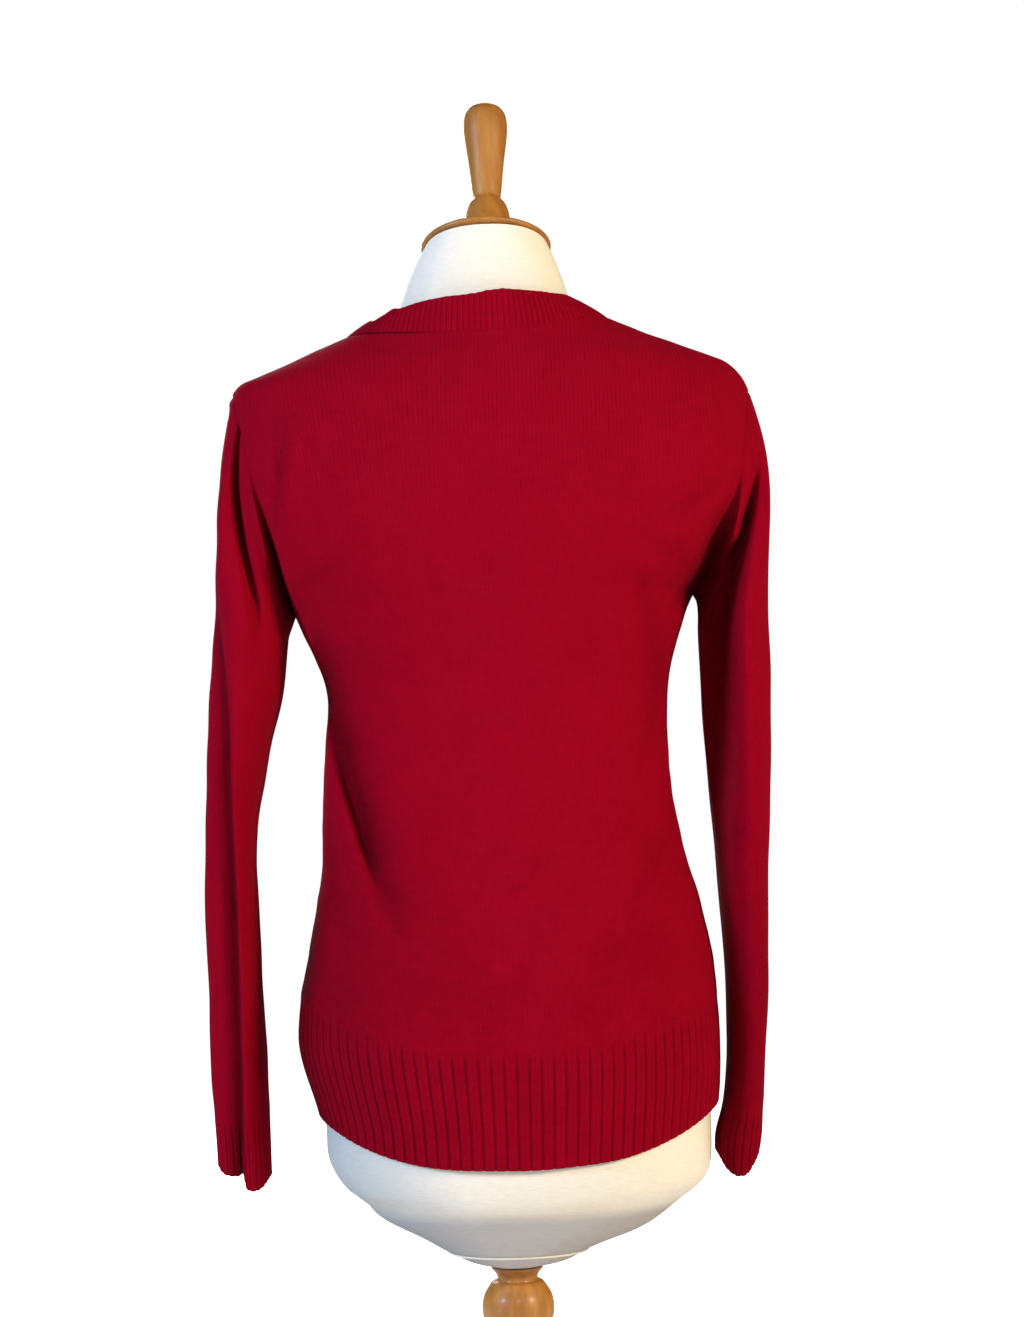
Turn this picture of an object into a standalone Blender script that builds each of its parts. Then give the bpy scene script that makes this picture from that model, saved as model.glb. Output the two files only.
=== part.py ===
"""A red fine-knit pullover worn by a limbless dress form on a short turned wooden stand.

Metres, +Z up. The stand's base rests on Z = 0 and the form's axis is the Z axis. The garment's
front faces -Y and its back faces +Y, so the wearer's left is +X.

The cloth is a wall of knit. Each piece is a grid of points on the worn garment's surface, worked
out from the section tables below, with a plain inner face one thickness behind it. A seam is a
gap of SEAM_GAP between two pieces whose edges share the same points and wall direction.
"""

import math

import bpy
import numpy as np

MM = 0.001

# Cloth
KNIT_THICKNESS = 2.0 * MM
SEAM_GAP = 0.3 * MM
SECTION_POWER = 2.3  # exponent of the body's rounded sections, 2 being an ellipse
SHOULDER_POWER = 1.75  # the same over the shoulders, whose ridge is sharper
SHOULDER_BLEND = (850 * MM, 905 * MM)  # heights between which the power changes
SLEEVE_POWER = 2.4

# Ribs
HEM_RIBS = 52  # across the back, and again across the front
HEM_RIB_HEIGHT = 1.5 * MM
CUFF_RIBS = 32
CUFF_RIB_HEIGHT = 1.0 * MM
NECK_RIBS_PER_SIDE = 4  # on each straight side of the neck seam's outline
NECK_RIB_HEIGHT = 0.8 * MM
RIB_FLAT = 0.28  # share of the pitch from a rib's groove to its flat top

# Mesh density
BACK_COLUMNS, BACK_NECK_COLUMNS, BACK_LOW_ROWS = 28, 10, 12
FRONT_COLUMNS, FRONT_NECK_COLUMNS, FRONT_LOW_ROWS = 24, 10, 9
BACK_ARMHOLE_ROWS, FRONT_ARMHOLE_ROWS = 14, 12
SLEEVE_HEAD_ROWS, SLEEVE_TUBE_ROWS = 8, 9
FORM_COLUMNS = 24
TURNED_STEPS = 24

# Armholes and shoulders
UNDERARM_HEIGHT = {"left": 720 * MM, "right": 727 * MM}
SHOULDER_TIP_HEIGHT = {"left": 884 * MM, "right": 877 * MM}
ARMHOLE_DEPTH = {"back": 57 * MM, "front": 60 * MM}  # from the side seam's plane
ARMHOLE_EGG = 0.12  # how much wider the armhole is low down

# Neck opening
NECK_CENTRE_X, NECK_HALF_WIDTH = 10 * MM, 97 * MM
NECK_SEAM_HEIGHT = {"left": 923 * MM, "right": 931.5 * MM, "back": 913 * MM, "front": 862 * MM}
NECK_BAND_HEIGHT = {"left": 18 * MM, "right": 21 * MM, "back": 28 * MM, "front": 28 * MM}
NECK_BAND_LEAN = {"side": 0.86, "back": 0.22, "front": 0.5}  # share that leans in to the neck
NECK_BAND_LIFT = 0.02  # share of the band's height that keeps its ribs clear of the panels

# Hem and rib heights, as (left side, right side, centre)
RIB_TOP = {"back": (445 * MM, 439 * MM, 407 * MM), "front": (445 * MM, 439 * MM, 449 * MM)}
HEM_EDGE = {"back": (360 * MM, 361 * MM, 328 * MM), "front": (360 * MM, 361 * MM, 366 * MM)}
RIB_TOP_POWER, HEM_EDGE_POWER = 2.0, 2.5  # how flat each line stays round the centre
RIB_BAND_INSET = 0.8 * MM

# Sleeves
SLEEVE_HEAD_END = 700 * MM  # where the sleeve head has become a hanging tube
TANGENT_STEP = 10 * MM  # drop over which the tube's slope is taken
HEAD_FLARE = {"left": 0.16, "right": 0.30}  # outward slope of the sleeve at the shoulder tip
CUFF_TOP = {"left": 356 * MM, "right": 354 * MM}
CUFF_BOTTOM = {"left": (319 * MM, 309 * MM), "right": (312 * MM, 320 * MM)}  # outer, inner side

# Dress form and its wood
FORM_GAP = 8.0 * MM  # form to the inner face of the cloth, sideways
FORM_DROP = 4.0 * MM  # the same, downwards at the shoulders
CAP_CENTRE = (2 * MM, 0.0, 988 * MM)
FINIAL_FOOT = (0.5 * MM, 0.0, 988 * MM)
CAP_TILT = math.radians(14)  # forward lean of the neck cap
NECK_LEAN_START = 949 * MM  # the form's neck takes up the cap's lean from here
CAP_RADIUS, CAP_THICKNESS = 48.5 * MM, 7 * MM
BASE_RADIUS, BASE_HEIGHT = 145 * MM, 24 * MM
STAND_TOP = 246 * MM


def table(names, rows):
    """Return a table's columns by name, in metres, from rows in millimetres."""
    values = np.array(rows, dtype=float).T * MM
    return dict(zip(names.split(), values))


# Outer half widths of the worn body below the underarms.
SIDES = table("height left right", (
    (320, 135, 142),
    (360, 139.5, 148),
    (375, 144, 150),
    (390, 148.5, 151),
    (410, 152.5, 151),
    (428, 152.5, 150.4),
    (446, 150.5, 149.3),
    (475, 144.5, 146),
    (504, 139, 140),
    (533, 134, 131.6),
    (562, 132.8, 125.3),
    (591, 131.3, 121.6),
    (635, 127.6, 120.5),
    (658, 126.8, 121.8),
    (686, 134.5, 127.3),
    (702, 141.8, 132.5),
    (720, 150, 139.5),
    (727, 153, 143),
))

# Centre depths of the worn body in front of and behind the side seams.
DEPTHS = table("height back front", (
    (320, 108, 104),
    (360, 111, 105),
    (400, 113, 105),
    (440, 111, 103),
    (500, 101, 99),
    (560, 91, 96),
    (610, 84, 94),
    (655, 80, 96),
    (700, 86, 107),
    (740, 93, 120),
    (780, 98, 128),
    (820, 98, 123),
    (860, 92, 110),
    (890, 82, 97),
    (915, 68, 84),
    (945, 56, 70),
))

# The armhole seam as seen from behind.
ARMHOLES = table("height left right", (
    (720, 150, 141),
    (727, 152, 143),
    (742, 156, 152.5),
    (760, 160, 161),
    (782, 165.5, 168),
    (800, 170, 172.5),
    (820, 174, 176.5),
    (840, 179, 180),
    (862, 185, 183.5),
    (877, 189, 187.5),
    (884, 191, 189),
))

# The shoulder lines, from the neck to the tips.
SHOULDERS = {
    "left": table("across height", (
        (107, 923),
        (134, 911.5),
        (162, 900),
        (180, 892),
        (188, 887.5),
        (191, 884),
    )),
    "right": table("across height", (
        (87, 931.5),
        (124, 916),
        (145, 908.5),
        (164, 901),
        (174, 896),
        (181, 889),
        (185.3, 882.5),
        (187.5, 877),
    )),
}

# Sections of the hanging sleeves: outer and inner side from the axis, and depth each way.
SLEEVES = {
    "left": table("height outer inner back front", (
        (300, 213.5, 175, 28, 26),
        (330, 214, 175.5, 28, 27),
        (356, 215.3, 176, 31, 31),
        (400, 217.3, 177.2, 36, 37),
        (456, 217.5, 179.4, 40, 41),
        (500, 219, 180.5, 43, 44),
        (543, 218.3, 181.8, 46, 46),
        (572, 217, 180, 48, 48),
        (601, 216, 174.5, 50, 51),
        (630, 214.6, 168.5, 52, 54),
        (660, 212.6, 160.5, 54, 56),
        (700, 208.8, 155.5, 56, 58),
    )),
    "right": table("height outer inner back front", (
        (300, 171, 148, 39, 37),
        (318, 175, 145.5, 39, 37),
        (335, 178.5, 146, 38, 37),
        (354, 180, 151.5, 38, 38),
        (387, 182.6, 156, 42, 42),
        (416, 185, 157, 44, 44),
        (445, 186.8, 157, 46, 46),
        (502, 188.8, 154.6, 49, 49),
        (560, 191.6, 151.4, 52, 52),
        (618, 195, 147.5, 54, 55),
        (660, 195.8, 146.2, 56, 57),
        (700, 195.8, 145.5, 58, 59),
    )),
}

# Lengthwise folds of the hanging sleeves. Turn runs 0 at the outer side, 1 at the inner side and
# on to 2 across the front; depth is how far the cloth sinks there.
SLEEVE_FOLDS = {
    "left": (
        {"height": (300, 356, 400, 460, 540, 600, 660, 700, 735),
         "turn": (0.47, 0.47, 0.52, 0.53, 0.50, 0.45, 0.36, 0.25, 0.20),
         "depth": (13, 14, 17, 19, 19, 14, 7, 3, 0),
         "width": 0.085},
        {"height": (420, 500, 560, 640, 700),
         "turn": (1.55, 1.5, 1.46, 1.42, 1.4),
         "depth": (0, 6, 8, 5, 0),
         "width": 0.12},
    ),
    "right": (
        {"height": (300, 340, 380, 430, 500, 600, 700),
         "turn": (0.45, 0.48, 0.7, 0.72, 0.72, 0.71, 0.70),
         "depth": (7, 4, 4, 7, 11, 15, 17),
         "width": 0.17},
        {"height": (420, 500, 560, 640, 700),
         "turn": (1.5, 1.52, 1.5, 1.46, 1.42),
         "depth": (0, 6, 9, 6, 0),
         "width": 0.13},
    ),
}

# Folds of the sleeve heads. Drop runs 0 at the armhole and 1 where the tube begins.
HEAD_FOLDS = {
    "left": (
        {"drop": (0.05, 0.2, 0.4, 0.6, 0.8, 1.0),
         "turn": (0.08, 0.15, 0.25, 0.37, 0.5, 0.56),
         "depth": (0, 5, 8, 7, 3, 0),
         "width": 0.075},
    ),
    "right": (
        {"drop": (0.05, 0.2, 0.4, 0.6, 0.8, 1.0),
         "turn": (0.2, 0.3, 0.42, 0.55, 0.65, 0.70),
         "depth": (0, 5, 8, 7, 3, 0),
         "width": 0.13},
    ),
}

# Soft folds of the back, each along a path seen from behind.
BACK_FOLDS = (
    {"across": (122, 116, 110, 104, 92, 74, 55),
     "height": (668, 638, 590, 562, 534, 509, 488),
     "depth": 5.0,
     "width": 11.0},
    {"across": (-108, -101, -96, -90),
     "height": (735, 702, 672, 640),
     "depth": 3.5,
     "width": 14.0},
    {"across": (151, 153, 158),
     "height": (838, 796, 762),
     "depth": 3.0,
     "width": 7.0},
)
FRONT_FOLDS = (
    {"across": (-122, -112, -98, -80),
     "height": (670, 620, 575, 540),
     "depth": 4.5,
     "width": 12.0},
    {"across": (120, 112, 104),
     "height": (725, 690, 650),
     "depth": 3.5,
     "width": 12.0},
)

# Half widths of the bare form below the hem and at its neck.
FORM_BOTTOM = table("height left right back front", (
    (246.5, 18, 18, 18, 18),
    (252, 34, 43, 34, 33),
    (265, 58, 70, 53, 51),
    (279, 84, 98, 72, 69),
    (294, 104, 121, 91, 87),
    (305, 118, 133, 98, 94),
    (318, 129.5, 140.5, 102.5, 98.5),
    (335, 134.5, 142, 104.5, 100),
))
FORM_NECK = table("height left right back front", (
    (927, 80, 72, 46, 56),
    (934, 73, 65, 45, 54),
    (941, 67.5, 61, 45, 52),
    (949, 64.5, 57.5, 45.5, 50),
    (958, 61.5, 55, 46, 48.5),
    (970, 56, 50.5, 46, 47),
    (978, 52, 47.5, 45.5, 45.5),
    (984, 47.5, 44, 45, 44.5),
))


def smooth(at, known, values):
    """Interpolate values at the known places with a smooth curve, held level past both ends."""
    known = np.asarray(known, dtype=float)
    values = np.asarray(values, dtype=float)
    at = np.clip(np.asarray(at, dtype=float), known[0], known[-1])
    slopes = np.gradient(values, known)
    index = np.clip(np.searchsorted(known, at) - 1, 0, len(known) - 2)
    span = known[index + 1] - known[index]
    t = (at - known[index]) / span
    start = (1 + 2 * t) * (1 - t) ** 2 * values[index] + t * (1 - t) ** 2 * span * slopes[index]
    end = t * t * (3 - 2 * t) * values[index + 1] + t * t * (t - 1) * span * slopes[index + 1]
    return start + end


def unit(vectors):
    """Scale vectors to length 1."""
    lengths = np.linalg.norm(vectors, axis=-1, keepdims=True)
    return vectors / np.maximum(lengths, 1e-12)


def grid_normals(points, closed):
    """Return unit normals of a grid of points; the sign follows the order of rows and columns."""
    if closed:
        along = np.roll(points, -1, axis=1) - np.roll(points, 1, axis=1)
    else:
        along = np.gradient(points, axis=1)
    return unit(np.cross(along, np.gradient(points, axis=0)))


# ---------------------------------------------------------------- body surface


def section_power(height):
    """Return the exponent of the body's section at a height."""
    return smooth(height, SHOULDER_BLEND, (SECTION_POWER, SHOULDER_POWER))


def armhole_turn(height, side):
    """Return the turn round the armhole, 0 at the underarm and pi at the shoulder tip."""
    low, high = UNDERARM_HEIGHT[side], SHOULDER_TIP_HEIGHT[side]
    share = np.clip((height - low) / (high - low), 0, 1)
    return np.arccos(1 - 2 * share)


def shoulder_width(height, side):
    """Return the shoulder line's distance from the axis at a height above its tip."""
    line = SHOULDERS[side]
    across = np.linspace(line["across"][0], line["across"][-1], 400)
    heights = smooth(across, line["across"], line["height"])
    return np.interp(height, heights[::-1], across[::-1])


def half_width(height, side, face):
    """Return the half width of the body's full section, which passes through the armhole seam."""
    height = np.asarray(height, dtype=float)
    below = smooth(height, SIDES["height"], SIDES[side])
    turn = armhole_turn(height, side)
    seam_depth = ARMHOLE_DEPTH[face] * np.sin(turn) * (1 + ARMHOLE_EGG * np.cos(turn))
    share = seam_depth / smooth(height, DEPTHS["height"], DEPTHS[face])
    seam = smooth(height, ARMHOLES["height"], ARMHOLES[side])
    power = section_power(height)
    through_seam = seam / (1 - share ** power) ** (1 / power)
    above = shoulder_width(height, side)
    width = np.where(height > UNDERARM_HEIGHT[side], through_seam, below)
    return np.where(height > SHOULDER_TIP_HEIGHT[side], above, width)


def body_depth(across, height, face):
    """Return Y of the worn body's surface at a place seen from the front or back."""
    width = np.where(across > 0, half_width(height, "left", face), half_width(height, "right", face))
    share = np.clip(np.abs(across) / width, 0, 1)
    depth = smooth(height, DEPTHS["height"], DEPTHS[face])
    power = section_power(height)
    facing = 1 if face == "back" else -1
    return facing * depth * (1 - share ** power) ** (1 / power)


def section_points(turn, height, face):
    """Return points of the body's section; turn runs -pi/2 at the right to pi/2 at the left."""
    width = np.where(turn > 0, half_width(height, "left", face), half_width(height, "right", face))
    sine, cosine = np.sin(turn), np.clip(np.cos(turn), 0, 1)
    across = width * np.sign(sine) * np.abs(sine) ** (2 / SECTION_POWER)
    depth = smooth(height, DEPTHS["height"], DEPTHS[face]) * cosine ** (2 / SECTION_POWER)
    facing = 1 if face == "back" else -1
    return np.stack([across, facing * depth, height + 0 * across], axis=-1)


def level_line(levels, power, turn):
    """Return a height round the body: left and right at the sides, and its own at the centre."""
    left, right, centre = levels
    side = np.where(turn > 0, left, right)
    return centre + (side - centre) * np.abs(np.sin(turn)) ** power


def neck_seam(turn, face):
    """Return X and Z of the neck seam; turn runs -pi/2 at the right to pi/2 at the left."""
    side = np.where(turn > 0, NECK_SEAM_HEIGHT["left"], NECK_SEAM_HEIGHT["right"])
    drop = (side - NECK_SEAM_HEIGHT[face]) * np.cos(turn) ** (1.6 if face == "front" else 2.0)
    return NECK_CENTRE_X + NECK_HALF_WIDTH * np.sin(turn), side - drop


def neck_turns(neck_columns, face):
    """Return turns of the neck seam at even steps of its length."""

    def seam_line(share):
        across, height = neck_seam((share - 0.5) * math.pi, face)
        return np.stack([across, body_depth(across, height, face), height], axis=-1)

    return (even_places(seam_line, np.linspace(0, 1, neck_columns + 1)) - 0.5) * math.pi


def top_edge(columns, neck_columns, face):
    """Return X and Z along a panel's top: right shoulder, neck seam, left shoulder."""
    place = np.linspace(-columns / neck_columns, columns / neck_columns, columns + 1)
    turns = neck_turns(neck_columns, face)
    turn = np.interp(place, np.linspace(-1, 1, neck_columns + 1), turns)
    across, height = neck_seam(turn, face)
    for side, sign in (("left", 1), ("right", -1)):
        on_shoulder = sign * place > 1 + 1e-9
        share = (sign * place[on_shoulder] - 1) / (columns / neck_columns - 1)
        line = SHOULDERS[side]
        distance = line["across"][0] + share * (line["across"][-1] - line["across"][0])
        across[on_shoulder] = sign * distance
        height[on_shoulder] = smooth(distance, line["across"], line["height"])
    return np.stack([across, height], axis=-1)


def side_edge(rows, side):
    """Return X and Z up the armhole seam, from the underarm to the shoulder tip."""
    share = (1 - np.cos(np.linspace(0, math.pi, rows + 1))) / 2
    low, high = UNDERARM_HEIGHT[side], SHOULDER_TIP_HEIGHT[side]
    height = low + share * (high - low)
    across = smooth(height, ARMHOLES["height"], ARMHOLES[side])
    sign = 1 if side == "left" else -1
    return np.stack([sign * across, height], axis=-1)


def upper_panel(bottom, top, right, left):
    """Blend the four edges of a panel's upper part, all as X and Z, into a grid."""
    rows, columns = len(left), len(bottom)
    up = (1 - np.cos(np.linspace(0, math.pi, rows))) / 2
    up = up[:, None, None]
    over = np.linspace(0, 1, columns)[None, :, None]
    ruled = (1 - up) * bottom[None] + up * top[None]
    sides = (1 - over) * right[:, None] + over * left[:, None]
    corners = (1 - up) * ((1 - over) * bottom[0] + over * bottom[-1])
    corners = corners + up * ((1 - over) * top[0] + over * top[-1])
    return ruled + sides - corners


def fold_sink(across, height, folds):
    """Return how far the cloth sinks at each place, from soft troughs along the folds' paths."""
    sink = np.zeros_like(across)
    for fold in folds:
        order = np.argsort(fold["height"])
        heights = np.array(fold["height"], dtype=float)[order] * MM
        path = smooth(height, heights, np.array(fold["across"], dtype=float)[order] * MM)
        middle = (heights[0] + heights[-1]) / 2
        reach = (heights[-1] - heights[0]) / 2
        along = np.exp(-((height - middle) / reach) ** 4)
        beside = np.exp(-((across - path) / (fold["width"] * MM)) ** 2)
        sink = sink + fold["depth"] * MM * along * beside
    return sink


def body_panel(face, columns, neck_columns, low_rows, armhole_rows, folds):
    """Return a body panel's points and inward wall directions, in rows from the rib to the top."""
    turn = np.linspace(-math.pi / 2, math.pi / 2, columns + 1)
    underarm = np.linspace(UNDERARM_HEIGHT["right"], UNDERARM_HEIGHT["left"], columns + 1)
    share = np.linspace(0, 1, low_rows + 1)[:, None]
    height = level_line(RIB_TOP[face], RIB_TOP_POWER, turn) * (1 - share) + underarm * share
    low = section_points(turn[None] + 0 * height, height, face)
    plan = upper_panel(low[-1][:, [0, 2]], top_edge(columns, neck_columns, face),
                       side_edge(armhole_rows, "right"), side_edge(armhole_rows, "left"))
    across, rise = plan[..., 0], plan[..., 1]
    high = np.stack([across, body_depth(across, rise, face), rise], axis=-1)
    points = np.concatenate([low, high[1:]])
    facing = 1 if face == "back" else -1
    inward = facing * grid_normals(points, False)
    seam_directions(inward, points, columns, neck_columns, low_rows)
    sink = fold_sink(points[..., 0], points[..., 2], folds)
    sink[[0, -1]] = 0
    sink[:, [0, -1]] = 0
    return points + inward * sink[..., None], inward


def seam_directions(inward, points, columns, neck_columns, low_rows):
    """Give the panel's edges the wall directions that the neighbouring pieces share."""
    for column, sign in ((0, -1), (-1, 1)):
        inward[:low_rows, column] = (-sign, 0, 0)
        seam = points[low_rows:, column]
        middle = (seam[0] + seam[-1]) / 2
        radial = seam - middle
        radial[:, 0] = 0
        own = inward[low_rows:, column]
        own[[0, -1], 1] = 0
        own[0] = (-sign, 0, 0)
        inward[low_rows:, column] = unit(unit(own) - unit(radial))
    inward[0, :, 2] = 0
    shoulder = (columns - neck_columns) // 2 + 1
    inward[-1, 1:shoulder, 1] = 0
    inward[-1, -shoulder:-1, 1] = 0
    inward[:] = unit(inward)


# ---------------------------------------------------------------- walls of cloth


def draw_in(points, closed):
    """Return points with the outer rows, and an open grid's outer columns, half a seam gap in."""
    pulled = points.copy()
    step = SEAM_GAP / 2
    pulled[0] += step * unit(points[1] - points[0])
    pulled[-1] += step * unit(points[-2] - points[-1])
    if not closed:
        pulled[:, 0] += step * unit(points[:, 1] - points[:, 0])
        pulled[:, -1] += step * unit(points[:, -2] - points[:, -1])
    return pulled


def grid_faces(ids, closed):
    """Return the quads of a grid of vertex numbers."""
    if closed:
        ids = np.concatenate([ids, ids[:, :1]], axis=1)
    corners = (ids[:-1, :-1], ids[:-1, 1:], ids[1:, 1:], ids[1:, :-1])
    return np.stack(corners, axis=-1).reshape(-1, 4).tolist()


def edge_strip(first, second):
    """Return triangles between two edges that start and end together but differ in density."""
    faces = []
    a = b = 0
    while a < len(first) - 1 or b < len(second) - 1:
        next_a = (a + 0.5) / (len(first) - 1)
        next_b = (b + 0.5) / (len(second) - 1)
        if next_a <= next_b:
            faces.append((first[a], first[a + 1], second[b]))
            a += 1
        else:
            faces.append((first[a], second[b + 1], second[b]))
            b += 1
    return [[int(corner) for corner in face] for face in faces]


def cloth_wall(name, outer, inner, closed, material, collection):
    """Make one closed solid from an outer and a plain inner grid of points."""
    outer_ids = np.arange(outer.shape[0] * outer.shape[1]).reshape(outer.shape[:2])
    inner_ids = np.arange(inner.shape[0] * inner.shape[1]).reshape(inner.shape[:2])
    inner_ids = inner_ids + outer_ids.size
    faces = grid_faces(outer_ids, closed)
    faces += [[face[0], face[3], face[2], face[1]] for face in grid_faces(inner_ids, closed)]
    for row in (0, -1):
        edge, lining = outer_ids[row], inner_ids[row]
        if closed:
            edge, lining = np.append(edge, edge[0]), np.append(lining, lining[0])
        strip = edge_strip(edge, lining)
        faces += [face[::-1] for face in strip] if row == 0 else strip
    if not closed:
        for column in (0, -1):
            strip = edge_strip(outer_ids[:, column], inner_ids[:, column])
            faces += strip if column == 0 else [face[::-1] for face in strip]
    points = np.concatenate([outer.reshape(-1, 3), inner.reshape(-1, 3)])
    return solid_from_faces(name, points, faces, material, collection)


def solid_from_faces(name, points, faces, material, collection):
    """Make a mesh object whose closed surface faces outwards."""
    mesh = bpy.data.meshes.new(name)
    mesh.from_pydata(points.tolist(), [], faces)
    if signed_volume(mesh) < 0:
        mesh.flip_normals()
    mesh.shade_smooth()
    mesh.set_sharp_from_angle(angle=math.radians(40))
    mesh.materials.append(material)
    solid = bpy.data.objects.new(name, mesh)
    collection.objects.link(solid)
    return solid


def signed_volume(mesh):
    """Return six times the volume inside a closed mesh, negative when it is inside out."""
    mesh.calc_loop_triangles()
    places = np.array([vertex.co for vertex in mesh.vertices])
    corners = places[np.array([triangle.vertices for triangle in mesh.loop_triangles])]
    return np.einsum("ij,ij->", corners[:, 0], np.cross(corners[:, 1], corners[:, 2]))


def rib_places(ribs, pitch_steps):
    """Return places 0 to 1 across a ribbed piece and the relief there, 0 in a groove, 1 on top."""
    if pitch_steps == 3:
        steps, relief = (0.0, RIB_FLAT, 1 - RIB_FLAT), (0.0, 1.0, 1.0)
    else:
        steps, relief = (0.0, 0.5), (0.0, 1.0)
    places = (np.arange(ribs)[:, None] + np.array(steps)[None]).ravel() / ribs
    return places, np.tile(relief, ribs)


def even_places(curve, places):
    """Return the curve's parameters at even shares of its length; curve gives points for 0..1."""
    dense = np.linspace(0, 1, 1200)
    lengths = np.linalg.norm(np.diff(curve(dense), axis=0), axis=1)
    travelled = np.concatenate([[0], np.cumsum(lengths)])
    return np.interp(np.asarray(places) * travelled[-1], travelled, dense)


def make_panel(name, points, inward, material, collection):
    """Make a body panel, whose inner face repeats the outer one a thickness behind it."""
    outer = draw_in(points, False)
    inner = outer + inward * KNIT_THICKNESS
    return cloth_wall(name, outer, inner, False, material, collection)


# ---------------------------------------------------------------- rib band of the hem


def make_hem_rib(name, face, material, collection):
    """Make half of the hem's rib band, from the left seam to the right seam."""
    places, relief = rib_places(HEM_RIBS, 3)
    places, relief = np.append(places, 1.0), np.append(relief, 0.0)

    def middle_section(share):
        turn = (share - 0.5) * math.pi
        return section_points(turn, level_line(HEM_EDGE[face], HEM_EDGE_POWER, turn), face)

    turn = (even_places(middle_section, places) - 0.5) * math.pi
    low = level_line(HEM_EDGE[face], HEM_EDGE_POWER, turn)
    high = level_line(RIB_TOP[face], RIB_TOP_POWER, turn)
    height = np.array([low, (low + high) / 2, high])
    points = section_points(turn[None] + 0 * height, height, face)
    facing = 1 if face == "back" else -1
    inward = facing * grid_normals(points, False)
    inward[..., 2] = 0
    inward[:, [0, -1]] = np.array([[1, 0, 0], [-1, 0, 0]])
    inward = unit(inward)
    points = draw_in(points + inward * RIB_BAND_INSET, False)
    outer = points - inward * HEM_RIB_HEIGHT * relief[None, :, None]
    inner = (points + inward * KNIT_THICKNESS)[:, ::6]
    return cloth_wall(name, outer, inner, False, material, collection)


# ---------------------------------------------------------------- sleeves and cuffs


def sleeve_ring(side, turn, height):
    """Return points of a hanging sleeve; turn runs 0 outer, 0.5 back, 1 inner, 1.5 front, 2."""
    sections = SLEEVES[side]
    outer, inner, back, front = (smooth(height, sections["height"], sections[name])
                                 for name in ("outer", "inner", "back", "front"))
    cosine, sine = np.cos(math.pi * turn), np.sin(math.pi * turn)
    bend = 2 / SLEEVE_POWER
    across = (outer + inner) / 2 + (outer - inner) / 2 * np.sign(cosine) * np.abs(cosine) ** bend
    depth = np.where(sine > 0, back, front) * np.sign(sine) * np.abs(sine) ** bend
    for fold in SLEEVE_FOLDS[side]:
        heights = np.array(fold["height"]) * MM
        path = smooth(height, heights, fold["turn"])
        sink = smooth(height, heights, np.array(fold["depth"]) * MM)
        depth = depth - np.sign(sine) * sink * np.exp(-((turn - path) / fold["width"]) ** 2)
    sign = 1 if side == "left" else -1
    return np.stack([sign * across, depth, height + 0 * across], axis=-1)


def sleeve_head(side, loop, turn):
    """Return rows of points from the armhole's loop down to the top of the hanging tube."""
    sign = 1 if side == "left" else -1
    end = sleeve_ring(side, turn, np.full_like(turn, SLEEVE_HEAD_END))
    inner_share = 1 - np.abs(1 - turn)  # 0 at the shoulder tip, 1 at the underarm
    facing = np.sign(np.sin(math.pi * turn))
    dive = 0.9 * np.sin(math.pi * np.clip((inner_share - 0.3) / 0.7, 0, 1))
    start_slope = unit(np.stack([
        sign * (HEAD_FLARE[side] + 0.75 * inner_share),
        -facing * dive * np.where(facing > 0, 1.0, 0.6),
        -(1.0 - 0.9 * inner_share),
    ], axis=-1))
    below = sleeve_ring(side, turn, np.full_like(turn, SLEEVE_HEAD_END - TANGENT_STEP))
    end_slope = (below - end) / TANGENT_STEP
    length = np.linalg.norm(end - loop, axis=-1, keepdims=True)
    rows = []
    for drop in np.linspace(0, 1, SLEEVE_HEAD_ROWS + 1):
        point = (1 + 2 * drop) * (1 - drop) ** 2 * loop + drop ** 2 * (3 - 2 * drop) * end
        point = point + drop * (1 - drop) ** 2 * length * start_slope
        point = point + drop ** 2 * (drop - 1) * length * end_slope
        for fold in HEAD_FOLDS[side]:
            sink = np.interp(drop, fold["drop"], fold["depth"]) * MM * (1 - drop ** 6)
            place = np.interp(drop, fold["drop"], fold["turn"])
            point[:, 1] -= sink * np.exp(-((turn - place) / fold["width"]) ** 2)
        rows.append(point)
    return np.array(rows)


def armhole_loop(back, front, low_back, low_front, column):
    """Join the two panels' armhole edges into a loop: tip, back edge, underarm, front edge."""
    back_edge = back[low_back:, column][::-1]
    front_edge = front[low_front:, column]
    return np.concatenate([back_edge, front_edge[1:-1]])


def sleeve_turns():
    """Return the turn of each column of a sleeve, matched to the armhole's points."""
    back = np.linspace(0, 1, BACK_ARMHOLE_ROWS + 1)
    front = np.linspace(1, 2, FRONT_ARMHOLE_ROWS + 1)
    return np.concatenate([back, front[1:-1]])


def make_sleeve(name, side, loop, loop_inward, material, collection):
    """Make one sleeve, from the armhole seam to the cuff seam."""
    turn = sleeve_turns()
    head = sleeve_head(side, loop, turn)
    heights = np.linspace(SLEEVE_HEAD_END, CUFF_TOP[side], SLEEVE_TUBE_ROWS + 1)[1:]
    tube = np.array([sleeve_ring(side, turn, np.full_like(turn, height)) for height in heights])
    points = np.concatenate([head, tube])
    sign = 1 if side == "left" else -1
    inward = sign * grid_normals(points, True)
    inward[0] = loop_inward
    inward[-1, :, 2] = 0
    inward = unit(inward)
    outer = draw_in(points, True)
    inner = outer + inward * KNIT_THICKNESS
    return cloth_wall(name, outer, inner, True, material, collection)


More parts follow.
